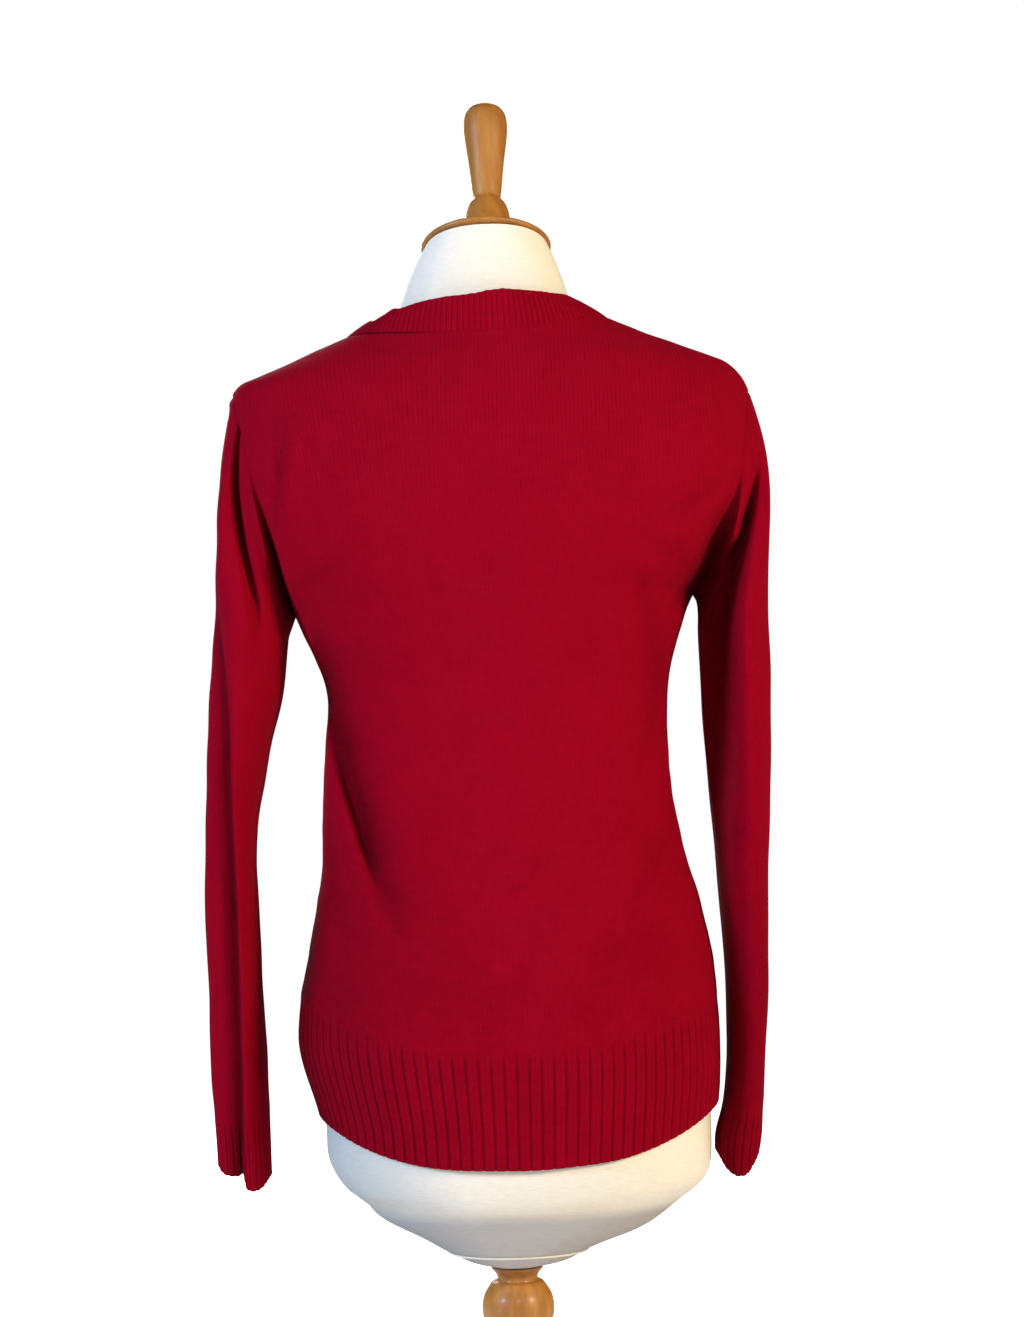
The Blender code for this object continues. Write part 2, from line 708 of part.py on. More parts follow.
def make_cuff(name, side, material, collection):
    """Make one ribbed cuff below its sleeve, with its slightly slanting lower edge."""
    places, relief = rib_places(CUFF_RIBS, 3)

    def middle_ring(share):
        return sleeve_ring(side, 2 * share, np.full_like(share, CUFF_TOP[side]))

    turn = 2 * even_places(middle_ring, places)
    outer_end, inner_end = CUFF_BOTTOM[side]
    inner_share = (1 - np.cos(math.pi * turn)) / 2
    bottom = outer_end * (1 - inner_share) + inner_end * inner_share
    height = np.array([np.full_like(bottom, CUFF_TOP[side]), bottom])
    points = sleeve_ring(side, turn[None] + 0 * height, height)
    sign = 1 if side == "left" else -1
    inward = sign * grid_normals(points, True)
    inward[..., 2] = 0
    inward = unit(inward)
    points = draw_in(points, True)
    outer = points - inward * CUFF_RIB_HEIGHT * (relief - 1)[None, :, None]
    inner = (points + inward * (KNIT_THICKNESS + CUFF_RIB_HEIGHT))[:, ::3]
    return cloth_wall(name, outer, inner, True, material, collection)


# ---------------------------------------------------------------- neck band


def neck_edge(points, columns, neck_columns):
    """Return a panel's points along the neck seam, from right to left."""
    first = (columns - neck_columns) // 2
    return points[-1, first:first + neck_columns + 1]


def neck_rise(turn):
    """Return the neck band from seam to upper edge; turn runs 0 left, 0.5 back, 1 right, 2."""
    cosine, sine = np.cos(math.pi * turn), np.sin(math.pi * turn)
    middle = sine ** 2
    face_lean = np.where(sine > 0, NECK_BAND_LEAN["back"], NECK_BAND_LEAN["front"])
    face_height = np.where(sine > 0, NECK_BAND_HEIGHT["back"], NECK_BAND_HEIGHT["front"])
    lean = NECK_BAND_LEAN["side"] * (1 - middle) + face_lean * middle
    side_height = np.where(cosine > 0, NECK_BAND_HEIGHT["left"], NECK_BAND_HEIGHT["right"])
    height = side_height * (1 - middle) + face_height * middle
    upright = np.sqrt(1 - lean ** 2)
    return np.stack([-lean * cosine, -lean * sine, upright], axis=-1) * height[:, None]


def make_neck_band(name, back, front, back_inward, front_inward, material, collection):
    """Make the ribbed neck band on the panels' own neck points, which its lower edge follows."""
    corners = np.concatenate([
        neck_edge(back, BACK_COLUMNS, BACK_NECK_COLUMNS)[::-1],
        neck_edge(front, FRONT_COLUMNS, FRONT_NECK_COLUMNS)[1:],
    ])
    walls = np.concatenate([
        neck_edge(back_inward, BACK_COLUMNS, BACK_NECK_COLUMNS)[::-1],
        neck_edge(front_inward, FRONT_COLUMNS, FRONT_NECK_COLUMNS)[1:],
    ])
    turns = np.concatenate([
        0.5 - neck_turns(BACK_NECK_COLUMNS, "back")[::-1] / math.pi,
        1.5 + neck_turns(FRONT_NECK_COLUMNS, "front")[1:] / math.pi,
    ])
    sides = len(corners) - 1
    places, relief = rib_places(sides * NECK_RIBS_PER_SIDE, 2)
    places = places * sides
    knots = np.arange(sides + 1)
    bottom = np.stack([np.interp(places, knots, corners[:, axis]) for axis in range(3)], axis=-1)
    seam_wall = np.stack([np.interp(places, knots, walls[:, axis]) for axis in range(3)], axis=-1)
    rise = neck_rise(np.interp(places, knots, turns))
    points = np.array([bottom + NECK_BAND_LIFT * rise, bottom + rise])
    inward = -grid_normals(points, True)
    inward[0] = seam_wall
    inward = unit(inward)
    points = draw_in(points, True)
    outer = points - inward * NECK_RIB_HEIGHT * relief[None, :, None]
    inner = (points + inward * KNIT_THICKNESS)[:, ::NECK_RIBS_PER_SIDE]
    return cloth_wall(name, outer, inner, True, material, collection)


# ---------------------------------------------------------------- dress form


def form_sections():
    """Return the form's sections as rows of height, left, right, back and front."""
    rows = [tuple(FORM_BOTTOM[name][i] for name in ("height", "left", "right", "back", "front"))
            for i in range(len(FORM_BOTTOM["height"]))]
    for height in np.linspace(0.360, 0.912, 16):
        cloth = height + FORM_DROP
        widths = []
        for side in ("left", "right"):
            width = smooth(cloth, SIDES["height"], SIDES[side])
            if cloth > UNDERARM_HEIGHT[side]:
                width = smooth(cloth, ARMHOLES["height"], ARMHOLES[side])
            if cloth > SHOULDER_TIP_HEIGHT[side]:
                width = shoulder_width(cloth, side)
            widths.append(float(width) - FORM_GAP - KNIT_THICKNESS)
        depths = [float(smooth(cloth, DEPTHS["height"], DEPTHS[face])) - FORM_GAP - KNIT_THICKNESS
                  for face in ("back", "front")]
        rows.append((height, *widths, *depths))
    rows += [tuple(FORM_NECK[name][i] for name in ("height", "left", "right", "back", "front"))
             for i in range(len(FORM_NECK["height"]))]
    return rows


def make_form(name, material, collection):
    """Make the padded torso as one loft, closed flat on top and at the wooden stand."""
    turn = np.linspace(0, 2 * math.pi, FORM_COLUMNS, endpoint=False)
    cosine, sine = np.cos(turn), np.sin(turn)
    bend = 2 / SECTION_POWER
    rings = []
    for height, left, right, back, front in form_sections():
        across = np.where(cosine > 0, left, right) * np.sign(cosine) * np.abs(cosine) ** bend
        depth = np.where(sine > 0, back, front) * np.sign(sine) * np.abs(sine) ** bend
        top = FORM_NECK["height"][-1]
        lean = max(0.0, (height - NECK_LEAN_START) / (top - NECK_LEAN_START))
        rise = height + lean * math.tan(CAP_TILT) * depth
        rings.append(np.stack([across, depth, rise], axis=-1))
    rings = np.array(rings)
    ids = np.arange(rings.shape[0] * rings.shape[1]).reshape(rings.shape[:2])
    faces = grid_faces(ids, True)
    faces += [ids[0][::-1].tolist(), ids[-1].tolist()]
    return solid_from_faces(name, rings.reshape(-1, 3), faces, material, collection)


# ---------------------------------------------------------------- turned wood


def turned(name, profile, location, tilt, material, collection):
    """Turn a profile of (radius, height) pairs in millimetres, listed from top to bottom."""
    mesh = bpy.data.meshes.new(name)
    points = [(radius * MM, 0, height * MM) for radius, height in profile]
    edges = [(i, i + 1) for i in range(len(points) - 1)]
    mesh.from_pydata(points, edges, [])
    mesh.materials.append(material)
    solid = bpy.data.objects.new(name, mesh)
    solid.location = location
    solid.rotation_euler = (tilt, 0, 0)
    collection.objects.link(solid)
    screw = solid.modifiers.new("Turn", "SCREW")
    screw.axis = "Z"
    screw.angle = 2 * math.pi
    screw.steps = TURNED_STEPS
    screw.render_steps = TURNED_STEPS
    screw.use_merge_vertices = True
    screw.merge_threshold = 0.0001
    screw.use_smooth_shade = True
    return solid


def ball_profile(radius, centre, low_cut, high_cut, steps):
    """Return profile points down a ball between two heights above and below its centre."""
    start = math.acos(high_cut / radius)
    end = math.pi - math.acos(low_cut / radius)
    angles = [start + (end - start) * i / steps for i in range(steps + 1)]
    return [(radius * math.sin(angle), centre + radius * math.cos(angle)) for angle in angles]


def make_neck_cap(material, collection):
    """Make the wooden disc on the neck, with a rounded rim, leaning forward."""
    radius, half = CAP_RADIUS / MM, CAP_THICKNESS / MM / 2
    profile = [(0, half), (radius - 7, half), (radius - 2, half - 1.2), (radius, 0),
               (radius - 2, -half + 1), (radius - 6, -half), (0, -half)]
    return turned("neck_cap", profile, CAP_CENTRE, CAP_TILT, material, collection)


def make_finial(material, collection):
    """Make the finial: a ringed foot, a slim waist and a club that widens to a domed top."""
    seat = CAP_THICKNESS / MM / 2 + SEAM_GAP / MM
    profile = [(0, 115.7), (7.5, 114.5), (12.8, 111.3), (15.6, 106), (16, 99), (15.1, 87),
               (12.6, 65), (10.8, 48), (11.5, 43.5), (14, 36), (16.6, 27), (19.5, 19), (18, 13),
               (21, 8.5), (20.5, seat), (0, seat)]
    return turned("neck_finial", profile, FINIAL_FOOT, CAP_TILT, material, collection)


def make_stand(material, collection):
    """Make the turned column under the form and the round base that it stands on."""
    top = STAND_TOP / MM
    foot = BASE_HEIGHT / MM + SEAM_GAP / MM
    flare = [(0, top), (19.5, top), (16.5, top - 3.5), (14, top - 7.5), (15, top - 9)]
    ball = ball_profile(26, 216.5, 21.5, 19.5, 7)
    pole = [(15.5, 195), (15.5, 60), (18, 54), (25, 47), (29.5, 38), (30, foot), (0, foot)]
    turned("stand_column", flare + ball + pole, (0, 0, 0), 0, material, collection)
    radius, height = BASE_RADIUS / MM, BASE_HEIGHT / MM
    base = [(0, height), (radius - 30, height), (radius - 16, height - 3), (radius - 8, height - 9),
            (radius - 2, height - 13), (radius, height - 18), (radius - 1.5, 1.5), (radius - 3, 0),
            (0, 0)]
    turned("stand_base", base, (0, 0, 0), 0, material, collection)


# ---------------------------------------------------------------- materials


def make_material(name, colour, roughness):
    """Return a non-metallic Principled BSDF material with a linear colour."""
    material = bpy.data.materials.new(name)
    material.use_nodes = True
    shader = material.node_tree.nodes["Principled BSDF"]
    shader.inputs["Base Color"].default_value = (*colour, 1.0)
    shader.inputs["Roughness"].default_value = roughness
    shader.inputs["Metallic"].default_value = 0.0
    material.diffuse_color = (*colour, 1.0)
    return material


def red_knit():
    return make_material("red_knit", (0.33, 0.002, 0.018), 0.9)


def cream_jersey():
    return make_material("cream_jersey", (0.76, 0.73, 0.66), 0.9)


def varnished_wood():
    return make_material("varnished_wood", (0.52, 0.24, 0.07), 0.35)


# ---------------------------------------------------------------- assembly


def clear_scene():
    """Remove every object, so that the script starts from an empty scene."""
    for old in list(bpy.data.objects):
        bpy.data.objects.remove(old, do_unlink=True)


def make_garment(material, collection):
    """Make the pullover's pieces: back, front, sleeves, neck band, cuffs and hem ribs."""
    back, back_inward = body_panel("back", BACK_COLUMNS, BACK_NECK_COLUMNS, BACK_LOW_ROWS,
                                   BACK_ARMHOLE_ROWS, BACK_FOLDS)
    front, front_inward = body_panel("front", FRONT_COLUMNS, FRONT_NECK_COLUMNS, FRONT_LOW_ROWS,
                                     FRONT_ARMHOLE_ROWS, FRONT_FOLDS)
    make_panel("back_panel", back, back_inward, material, collection)
    make_panel("front_panel", front, front_inward, material, collection)
    for side, column in (("left", -1), ("right", 0)):
        loop = armhole_loop(back, front, BACK_LOW_ROWS, FRONT_LOW_ROWS, column)
        walls = armhole_loop(back_inward, front_inward, BACK_LOW_ROWS, FRONT_LOW_ROWS, column)
        make_sleeve("sleeve_" + side, side, loop, walls, material, collection)
        make_cuff("cuff_" + side, side, material, collection)
    make_neck_band("neck_band", back, front, back_inward, front_inward, material, collection)
    for face in ("back", "front"):
        make_hem_rib("hem_rib_" + face, face, material, collection)


def main():
    """Build the pullover and the dress form that wears it."""
    clear_scene()
    collection = bpy.data.collections.new("pullover_on_dress_form")
    bpy.context.scene.collection.children.link(collection)
    make_garment(red_knit(), collection)
    make_form("form_torso", cream_jersey(), collection)
    wood = varnished_wood()
    make_neck_cap(wood, collection)
    make_finial(wood, collection)
    make_stand(wood, collection)


main()
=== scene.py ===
import math

import bpy
import numpy as np
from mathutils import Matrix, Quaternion, Vector


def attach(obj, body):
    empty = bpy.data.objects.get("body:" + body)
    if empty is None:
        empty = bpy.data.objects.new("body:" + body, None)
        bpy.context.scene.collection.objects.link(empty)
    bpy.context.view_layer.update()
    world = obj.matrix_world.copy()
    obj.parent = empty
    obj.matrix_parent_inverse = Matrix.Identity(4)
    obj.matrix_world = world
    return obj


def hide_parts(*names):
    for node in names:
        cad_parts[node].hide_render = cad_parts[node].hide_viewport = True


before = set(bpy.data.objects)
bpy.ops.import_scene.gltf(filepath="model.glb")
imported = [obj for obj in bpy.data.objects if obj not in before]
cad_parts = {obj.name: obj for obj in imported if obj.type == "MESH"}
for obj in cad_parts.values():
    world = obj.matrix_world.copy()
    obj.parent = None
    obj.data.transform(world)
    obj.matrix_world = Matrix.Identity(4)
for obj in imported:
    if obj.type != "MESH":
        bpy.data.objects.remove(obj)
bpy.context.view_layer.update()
mm = 0.001  # shapes are worked out in millimetres
sign = {"left": 1, "right": -1, "back": 1, "front": -1}  # of x or y on that side
keptSharp = math.radians(50)  # edges that turn more than this stay hard


# the worn body: half widths seen from behind, and depths behind and in front of the side seams
body = {
    "sideHeight": (320, 360, 375, 390, 410, 428, 446, 475, 504, 533, 562, 591, 635, 658, 686, 702, 720, 727),
    "left": (135, 139.5, 144, 148.5, 152.5, 152.5, 150.5, 144.5, 139, 134, 132.8, 131.3, 127.6, 126.8, 134.5,
             141.8, 150, 153),
    "right": (142, 148, 150, 151, 151, 150.4, 149.3, 146, 140, 131.6, 125.3, 121.6, 120.5, 121.8, 127.3,
              132.5,
              139.5, 143),
    "depthHeight": (320, 360, 400, 440, 500, 560, 610, 655, 700, 740, 780, 820, 860, 890, 915, 945),
    "back": (108, 111, 113, 111, 101, 91, 84, 80, 86, 93, 98, 98, 92, 82, 68, 56),
    "front": (104, 105, 105, 103, 99, 96, 94, 96, 107, 120, 128, 123, 110, 97, 84, 70),
    "power": 2.3,  # exponent of the rounded section, 2 being an ellipse
    "shoulderPower": 1.75,
    "shoulderBlend": (850, 905),
}

armhole = {
    "height": (720, 727, 742, 760, 782, 800, 820, 840, 862, 877, 884),
    "left": (150, 152, 156, 160, 165.5, 170, 174, 179, 185, 189, 191),
    "right": (141, 143, 152.5, 161, 168, 172.5, 176.5, 180, 183.5, 187.5, 189),
    "low": {"left": 720, "right": 727},
    "high": {"left": 884, "right": 877},
    "depth": {"back": 57, "front": 60},
    "egg": 0.12,  # how much wider it is low down
}

shoulder = {
    "left": ((107, 134, 162, 180, 188, 191), (923, 911.5, 900, 892, 887.5, 884)),
    "right": ((87, 124, 145, 164, 174, 181, 185.3, 187.5), (931.5, 916, 908.5, 901, 896, 889, 882.5, 877)),
}

panel = {
    "columns": 216,
    "neckColumns": 78,
    "lowRows": {"back": 116, "front": 106},
    "armholeRows": 64,
    # faint unevenness of the cloth: depth and wavelength of two waves, and their seeds on each face
    "uneven": ((0.55, 70), (0.22, 24)),
    "seeds": {"back": (4, 14), "front": (9, 19)},
    "seamEase": 5,  # over this distance creases fade out at a seam
    "sideSeam": (0.8, 2.0),  # depth and reach
    "topSeam": (0.6, 2.0),
    # painted shade along the seams (strength and reach) and in the creases
    "seamDark": (0.35, 1.4),
    "creaseDark": 0.62,
    "creaseFull": 9,  # a crease this deep is as dark as one gets
    "creaseMost": 0.55,  # share of the body's depth that a crease may take
}


def smoothTable(at, known, values):
    # cubic through the known points, with each point's slope taken from its two neighbours; values may be
    # one number for all of them
    known = np.asarray(known, float)
    values = np.asarray(values, float) + 0 * known
    at = np.clip(np.asarray(at, float), known[0], known[-1])
    slope = np.gradient(values, known)
    i = np.clip(np.searchsorted(known, at) - 1, 0, len(known) - 2)
    span = known[i + 1] - known[i]
    t = (at - known[i]) / span
    first = (1 + 2 * t) * (1 - t) ** 2 * values[i] + t * (1 - t) ** 2 * span * slope[i]
    return first + t * t * (3 - 2 * t) * values[i + 1] + t * t * (t - 1) * span * slope[i + 1]


def bell(distance, reach):
    # 1 at no distance, falling as e to the power -(distance / reach) squared
    return np.exp(-(distance / reach) ** 2)


def trough(distance, size):
    # a bell of the given depth and reach
    depth, reach = size
    return depth * bell(distance, reach)


def bent(part, power):
    # a sine or cosine to the power 2 / p with its sign kept, which turns a circle into a superellipse
    return np.sign(part) * np.abs(part) ** (2 / power)


def unit(vectors):
    # each vector divided by its length
    return vectors / np.maximum(np.linalg.norm(vectors, axis=-1, keepdims=True), 1e-9)


def gridNormals(points, closed):
    # cross product of the steps along a row and up a column
    along = np.roll(points, -1, 1) - np.roll(points, 1, 1) if closed else np.gradient(points, axis=1)
    return unit(np.cross(along, np.gradient(points, axis=0)))


def stepLength(points, axis):
    # distance travelled along a grid's rows or columns, starting at 0
    step = np.linalg.norm(np.diff(points, axis=axis), axis=-1)
    start = np.zeros_like(np.take(step, [0], axis=axis))
    return np.concatenate([start, np.cumsum(step, axis=axis)], axis=axis)


def evenShares(curve, shares):
    # parameters at even shares of a curve's length
    dense = np.linspace(0, 1, 4000)
    travelled = stepLength(curve(dense)[None], 1)[0]
    return np.interp(np.asarray(shares) * travelled[-1], travelled, dense)


def softNoise(x, y, scale, seed):
    # sum of nine slanting sine waves of about the given wavelength, over 4.5
    rng = np.random.default_rng(seed)
    total = np.zeros(np.broadcast(x, y).shape)
    for angle, stretch, phase in rng.uniform((0, 0.6, 0), (math.pi, 1.7, 2 * math.pi), (9, 3)):
        wave = 2 * math.pi * stretch / scale
        total += np.sin(wave * (math.cos(angle) * x + math.sin(angle) * y) + phase)
    return total / 4.5


def wrapped(grid):
    # the grid with its first column once more after its last
    return np.concatenate([grid, grid[:, :1]], 1)


def gridIds(points, closed):
    # the number of each point in its grid, row by row
    ids = np.arange(points.shape[0] * points.shape[1]).reshape(points.shape[:2])
    return wrapped(ids) if closed else ids


def gridQuads(ids):
    # the four corners of each cell of a grid
    return np.stack([ids[:-1, :-1], ids[:-1, 1:], ids[1:, 1:], ids[1:, :-1]], -1).reshape(-1, 4)


def insideOut(places, faces):
    # whether the enclosed volume, the sum of a . (b x c) over the faces, comes out negative
    a, b, c = (places[faces[:, corner]] for corner in range(3))
    return np.einsum("ij,ij->", a, np.cross(b, c)) < 0


def newMesh(name, places, faces):
    # a smooth mesh from points and the point numbers of its faces
    mesh = bpy.data.meshes.new(name)
    mesh.from_pydata(places.tolist(), [], faces)
    mesh.shade_smooth()
    mesh.set_sharp_from_angle(angle=keptSharp)
    piece = bpy.data.objects.new(name, mesh)
    bpy.context.scene.collection.objects.link(piece)
    return piece


def paint(piece, name, kind, values):
    # writes one number or one colour for each point
    data = piece.data.attributes.new(name, kind, "POINT").data
    data.foreach_set("value" if kind == "FLOAT" else "color", values.ravel())


def cappedRings(name, points, poles):
    # rings from the lowest to the highest, closed by a fan of triangles to a pole below and one above
    ids = gridIds(points, True)
    low, high = (np.full(points.shape[1], ids.max() + step) for step in (1, 2))
    below = np.stack([ids[0, 1:], ids[0, :-1], low], -1)
    above = np.stack([ids[-1, :-1], ids[-1, 1:], high], -1)
    places = np.concatenate([points.reshape(-1, 3), poles]) * mm
    return newMesh(name, places, gridQuads(ids).tolist() + below.tolist() + above.tolist())


def depthAt(z, face):
    # the worn body's depth at a height
    return smoothTable(z, body["depthHeight"], body[face])


def powerAt(z):
    # exponent of the section: the body's, changing to the shoulders' over their blend
    return smoothTable(z, body["shoulderBlend"], (body["power"], body["shoulderPower"]))


def seamAt(z, side):
    # the armhole seam's distance from the middle
    return smoothTable(z, armhole["height"], armhole[side])


def sideLine(z, side):
    # the worn body's half width below the underarm, the armhole seam above it
    return np.where(z < armhole["low"][side], smoothTable(z, body["sideHeight"], body[side]), seamAt(z, side))


def shoulderAcross(z, side):
    # the shoulder line's distance from the middle at a height: its table read backwards
    across = np.linspace(shoulder[side][0][0], shoulder[side][0][-1], 400)
    return np.interp(z, smoothTable(across, *shoulder[side])[::-1], across[::-1])


def halfWidth(z, side, face):
    # the side line below the underarm, then a section through the armhole seam, then the shoulder line
    low, high = armhole["low"][side], armhole["high"][side]
    turn = np.arccos(1 - 2 * np.clip((z - low) / (high - low), 0, 1))
    seamDepth = armhole["depth"][face] * np.sin(turn) * (1 + armhole["egg"] * np.cos(turn))
    power = powerAt(z)
    line = sideLine(z, side)
    through = line / (1 - (seamDepth / depthAt(z, face)) ** power) ** (1 / power)
    return np.where(z > high, shoulderAcross(z, side), np.where(z > low, through, line))


def widthAt(x, z, face):
    # half width on the side that x, or a turn, is on
    return np.where(x > 0, halfWidth(z, "left", face), halfWidth(z, "right", face))


def bodyDepth(x, z, face):
    # depth of a superellipse section at x: D * (1 - (x / W) ** p) ** (1 / p)
    power = powerAt(z)
    share = np.clip(np.abs(x) / widthAt(x, z, face), 0, 1)
    return sign[face] * depthAt(z, face) * (1 - share ** power) ** (1 / power)


def sectionPoints(turn, z, face):
    # superellipse: x = W * sin ** (2 / p), y = D * cos ** (2 / p); turn runs from -90 to 90 degrees
    x = widthAt(turn, z, face) * bent(np.sin(turn), body["power"])
    y = depthAt(z, face) * bent(np.clip(np.cos(turn), 0, 1), body["power"])
    return np.stack([x, sign[face] * y, z + 0 * x], -1)


def sectionArc(x, z, face):
    # length of the section from its centre to x, by adding up 40 short steps; used as the knit's u
    along = x[..., None] * np.linspace(0, 1, 41)
    ratio = np.clip(np.abs(along) / widthAt(x, z, face)[..., None], 0, 1)
    y = depthAt(z, face)[..., None] * (1 - ratio ** body["power"]) ** (1 / body["power"])
    return np.sign(x) * np.hypot(np.diff(along, axis=-1), np.diff(y, axis=-1)).sum(-1)


def levelLine(levels, power, turn):
    # the centre's height, going over to each side's by the sine of the turn to a power
    left, right, centre = levels
    return centre + (np.where(turn > 0, left, right) - centre) * np.abs(np.sin(turn)) ** power


neck = {
    "centre": 10,
    "halfWidth": 97,
    "seam": {"left": 923, "right": 931.5, "back": 913, "front": 862},
    "drop": {"back": 2.0, "front": 1.6},  # how flat the seam stays round the centre
    "bandHeight": {"left": 18, "right": 21, "back": 28, "front": 28},
    "lean": {"side": 0.86, "back": 0.22, "front": 0.5},  # share of the band that leans in
    "ribs": 148,
    "ribColumns": 6,
    "relief": 0.42,
    "rows": 12,
    "stitch": 3.0,  # width of the knit over one rib, for its u
    "height": 27,  # from the seam to the free edge, on average
    "flank": 0.26,  # share of a rib over which it rises
    "belly": 0.9,  # how far the band's middle stands out
    "uneven": ((0.45, 42, 8), (0.3, 9, 28)),  # of the free edge: height, wavelength, seed
    # what the worn band's upper edge stands above or below its even height, by place across the back
    "edge": ((-97, -83, -67, -56, -40, -13, 12, 39, 62, 72, 80, 87, 93, 99, 104, 107),
             (0.6, -0.6, 2.6, 1.9, 2.8, 4.2, 2.0, 0.4, -0.8, -1.4, 0.4, -3.2, -6.0, -3.4, 2.6, 1.6)),
}


def neckSeam(turn, face):
    # half turn of an ellipse in x, dropping from the sides to the centre by a power of the cosine
    side = np.where(turn > 0, neck["seam"]["left"], neck["seam"]["right"])
    z = side - (side - neck["seam"][face]) * np.abs(np.cos(turn)) ** neck["drop"][face]
    return neck["centre"] + neck["halfWidth"] * np.sin(turn), z


def neckTurns(face):
    # turns at which the neck's columns lie evenly along its seam
    def seamLine(share):
        # the neck seam set on the body's surface
        x, z = neckSeam((share - 0.5) * math.pi, face)
        return np.stack([x, bodyDepth(x, z, face), z], -1)

    return (evenShares(seamLine, np.linspace(0, 1, panel["neckColumns"] + 1)) - 0.5) * math.pi


def topEdge(face):
    # right shoulder line, neck seam, left shoulder line, as x and z
    ratio = panel["columns"] / panel["neckColumns"]
    place = np.linspace(-ratio, ratio, panel["columns"] + 1)
    turn = np.interp(place, np.linspace(-1, 1, panel["neckColumns"] + 1), neckTurns(face))
    x, z = neckSeam(turn, face)
    for side in ("left", "right"):
        beyond = sign[side] * place > 1 + 1e-9
        across, heights = shoulder[side]
        distance = across[0] + (sign[side] * place[beyond] - 1) / (ratio - 1) * (across[-1] - across[0])
        x[beyond] = sign[side] * distance
        z[beyond] = smoothTable(distance, across, heights)
    return np.stack([x, z], -1)


def bunched(count):
    # shares from 0 to 1 by half a cosine wave, close together at both ends
    return (1 - np.cos(np.linspace(0, math.pi, count))) / 2


def sideEdge(side):
    # the armhole seam as x and z, from the underarm up
    low, high = armhole["low"][side], armhole["high"][side]
    z = low + bunched(panel["armholeRows"] + 1) * (high - low)
    return np.stack([sign[side] * seamAt(z, side), z], -1)


def fourEdgeBlend(bottom, top, right, left):
    # Coons patch: the two ruled surfaces added, less the one through the corners
    up = bunched(len(left))[:, None, None]
    over = np.linspace(0, 1, len(bottom))[None, :, None]
    ruled = (1 - up) * bottom[None] + up * top[None]
    sides = (1 - over) * right[:, None] + over * left[:, None]
    corners = (1 - up) * ((1 - over) * bottom[0] + over * bottom[-1])
    return ruled + sides - corners - up * ((1 - over) * top[0] + over * top[-1])


hem = {
    "top": {"back": (445, 439, 407), "front": (445, 439, 449)},  # left side, right side, centre
    "edge": {"back": (360, 361, 328), "front": (360, 361, 366)},
    "topPower": 2.0,
    "edgePower": 2.5,
    "ribs": 52,
    "ribColumns": 8,
    "relief": 0.9,
    "inset": 0.2,
    "rows": 22,
    "height": 80,  # from the free edge to the join, on average
    "lowest": 322,  # the body's tables are read no lower
    "flank": 0.2,  # share of a rib over which it rises
    "stitch": 6.0,  # width of the knit over one rib, for its u
    "join": (0.8, 5.0),  # the ribs fade out: share and reach
    "sideSeam": (1.0, 2.2),
    # painted shade in the grooves between the ribs, by x: behind, stronger on the left
    "dark": {"back": ((-110, 40), (0.28, 0.42)), "front": ((-110, 40), 0.34)},  # of the grooves, by x
}


def bodyPanel(face):
    # sections from the rib to the underarm, then the blend of four edges set at the sections' depth
    turn = np.linspace(-math.pi / 2, math.pi / 2, panel["columns"] + 1)
    underarm = np.linspace(armhole["low"]["right"], armhole["low"]["left"], panel["columns"] + 1)
    share = np.linspace(0, 1, panel["lowRows"][face] + 1)[:, None]
    z = levelLine(hem["top"][face], hem["topPower"], turn) * (1 - share) + underarm * share
    low = sectionPoints(turn + 0 * z, z, face)
    plan = fourEdgeBlend(low[-1][:, [0, 2]], topEdge(face), sideEdge("right"), sideEdge("left"))
    x, z = plan[..., 0], plan[..., 1]
    return np.concatenate([low, np.stack([x, bodyDepth(x, z, face), z], -1)[1:]])


# how a crease's trough and lip are formed
creaseForm = {
    "samples": 80,
    "within": 60,  # distance from the path past which nothing is reckoned
    "sideBlend": 0.6,
    "endWidth": 0.35,  # share of the width that is left at the ends
    "troughPower": 1.7,
    "lipAt": 2.2,  # place and width of the lip, in widths of the trough
    "lipWidth": 1.8,
    "lipReach": 40,
}


def creaseField(x, z, creases):
    # each crease is a trough exp(-(distance / width) ** p) along a smooth path, with its own width on the
    # right and on the left as seen from behind, and a softer lip: on the right where positive, else left
    total = np.zeros_like(x)
    t = np.linspace(0, 1, creaseForm["samples"])
    for across, heights, sink, right, left, lip in creases:
        knots = np.linspace(0, 1, len(across))
        path = np.stack([smoothTable(t, knots, across), smoothTable(t, knots, heights)], -1)
        near = np.abs(x - path[:, 0].mean()) < np.ptp(path[:, 0]) / 2 + creaseForm["within"]
        near &= np.abs(z - path[:, 1].mean()) < np.ptp(path[:, 1]) / 2 + creaseForm["within"]
        gap = np.stack([x[near], z[near]], -1)[:, None] - path
        nearest = np.argmin((gap ** 2).sum(-1), -1)
        reach = gap[np.arange(len(nearest)), nearest]
        tangent = unit(np.gradient(path, axis=0))[nearest]
        away = reach[:, 0] * tangent[:, 1] - reach[:, 1] * tangent[:, 0]
        distance = np.linalg.norm(reach, axis=-1)
        fade = np.sin(math.pi * (0.03 + 0.94 * t[nearest])) ** 0.7
        width = left + (right - left) / (1 + np.exp(-away / creaseForm["sideBlend"]))
        width = width * (creaseForm["endWidth"] + (1 - creaseForm["endWidth"]) * fade)
        hollow = np.exp(-(distance / width) ** creaseForm["troughPower"])
        beside = right if lip > 0 else -left
        ridge = bell(away - creaseForm["lipAt"] * beside, creaseForm["lipWidth"] * beside)
        ridge = ridge * np.exp(-(distance / creaseForm["lipReach"]) ** 4)
        total[near] += fade * (sink * hollow - abs(lip) * ridge)
    return total


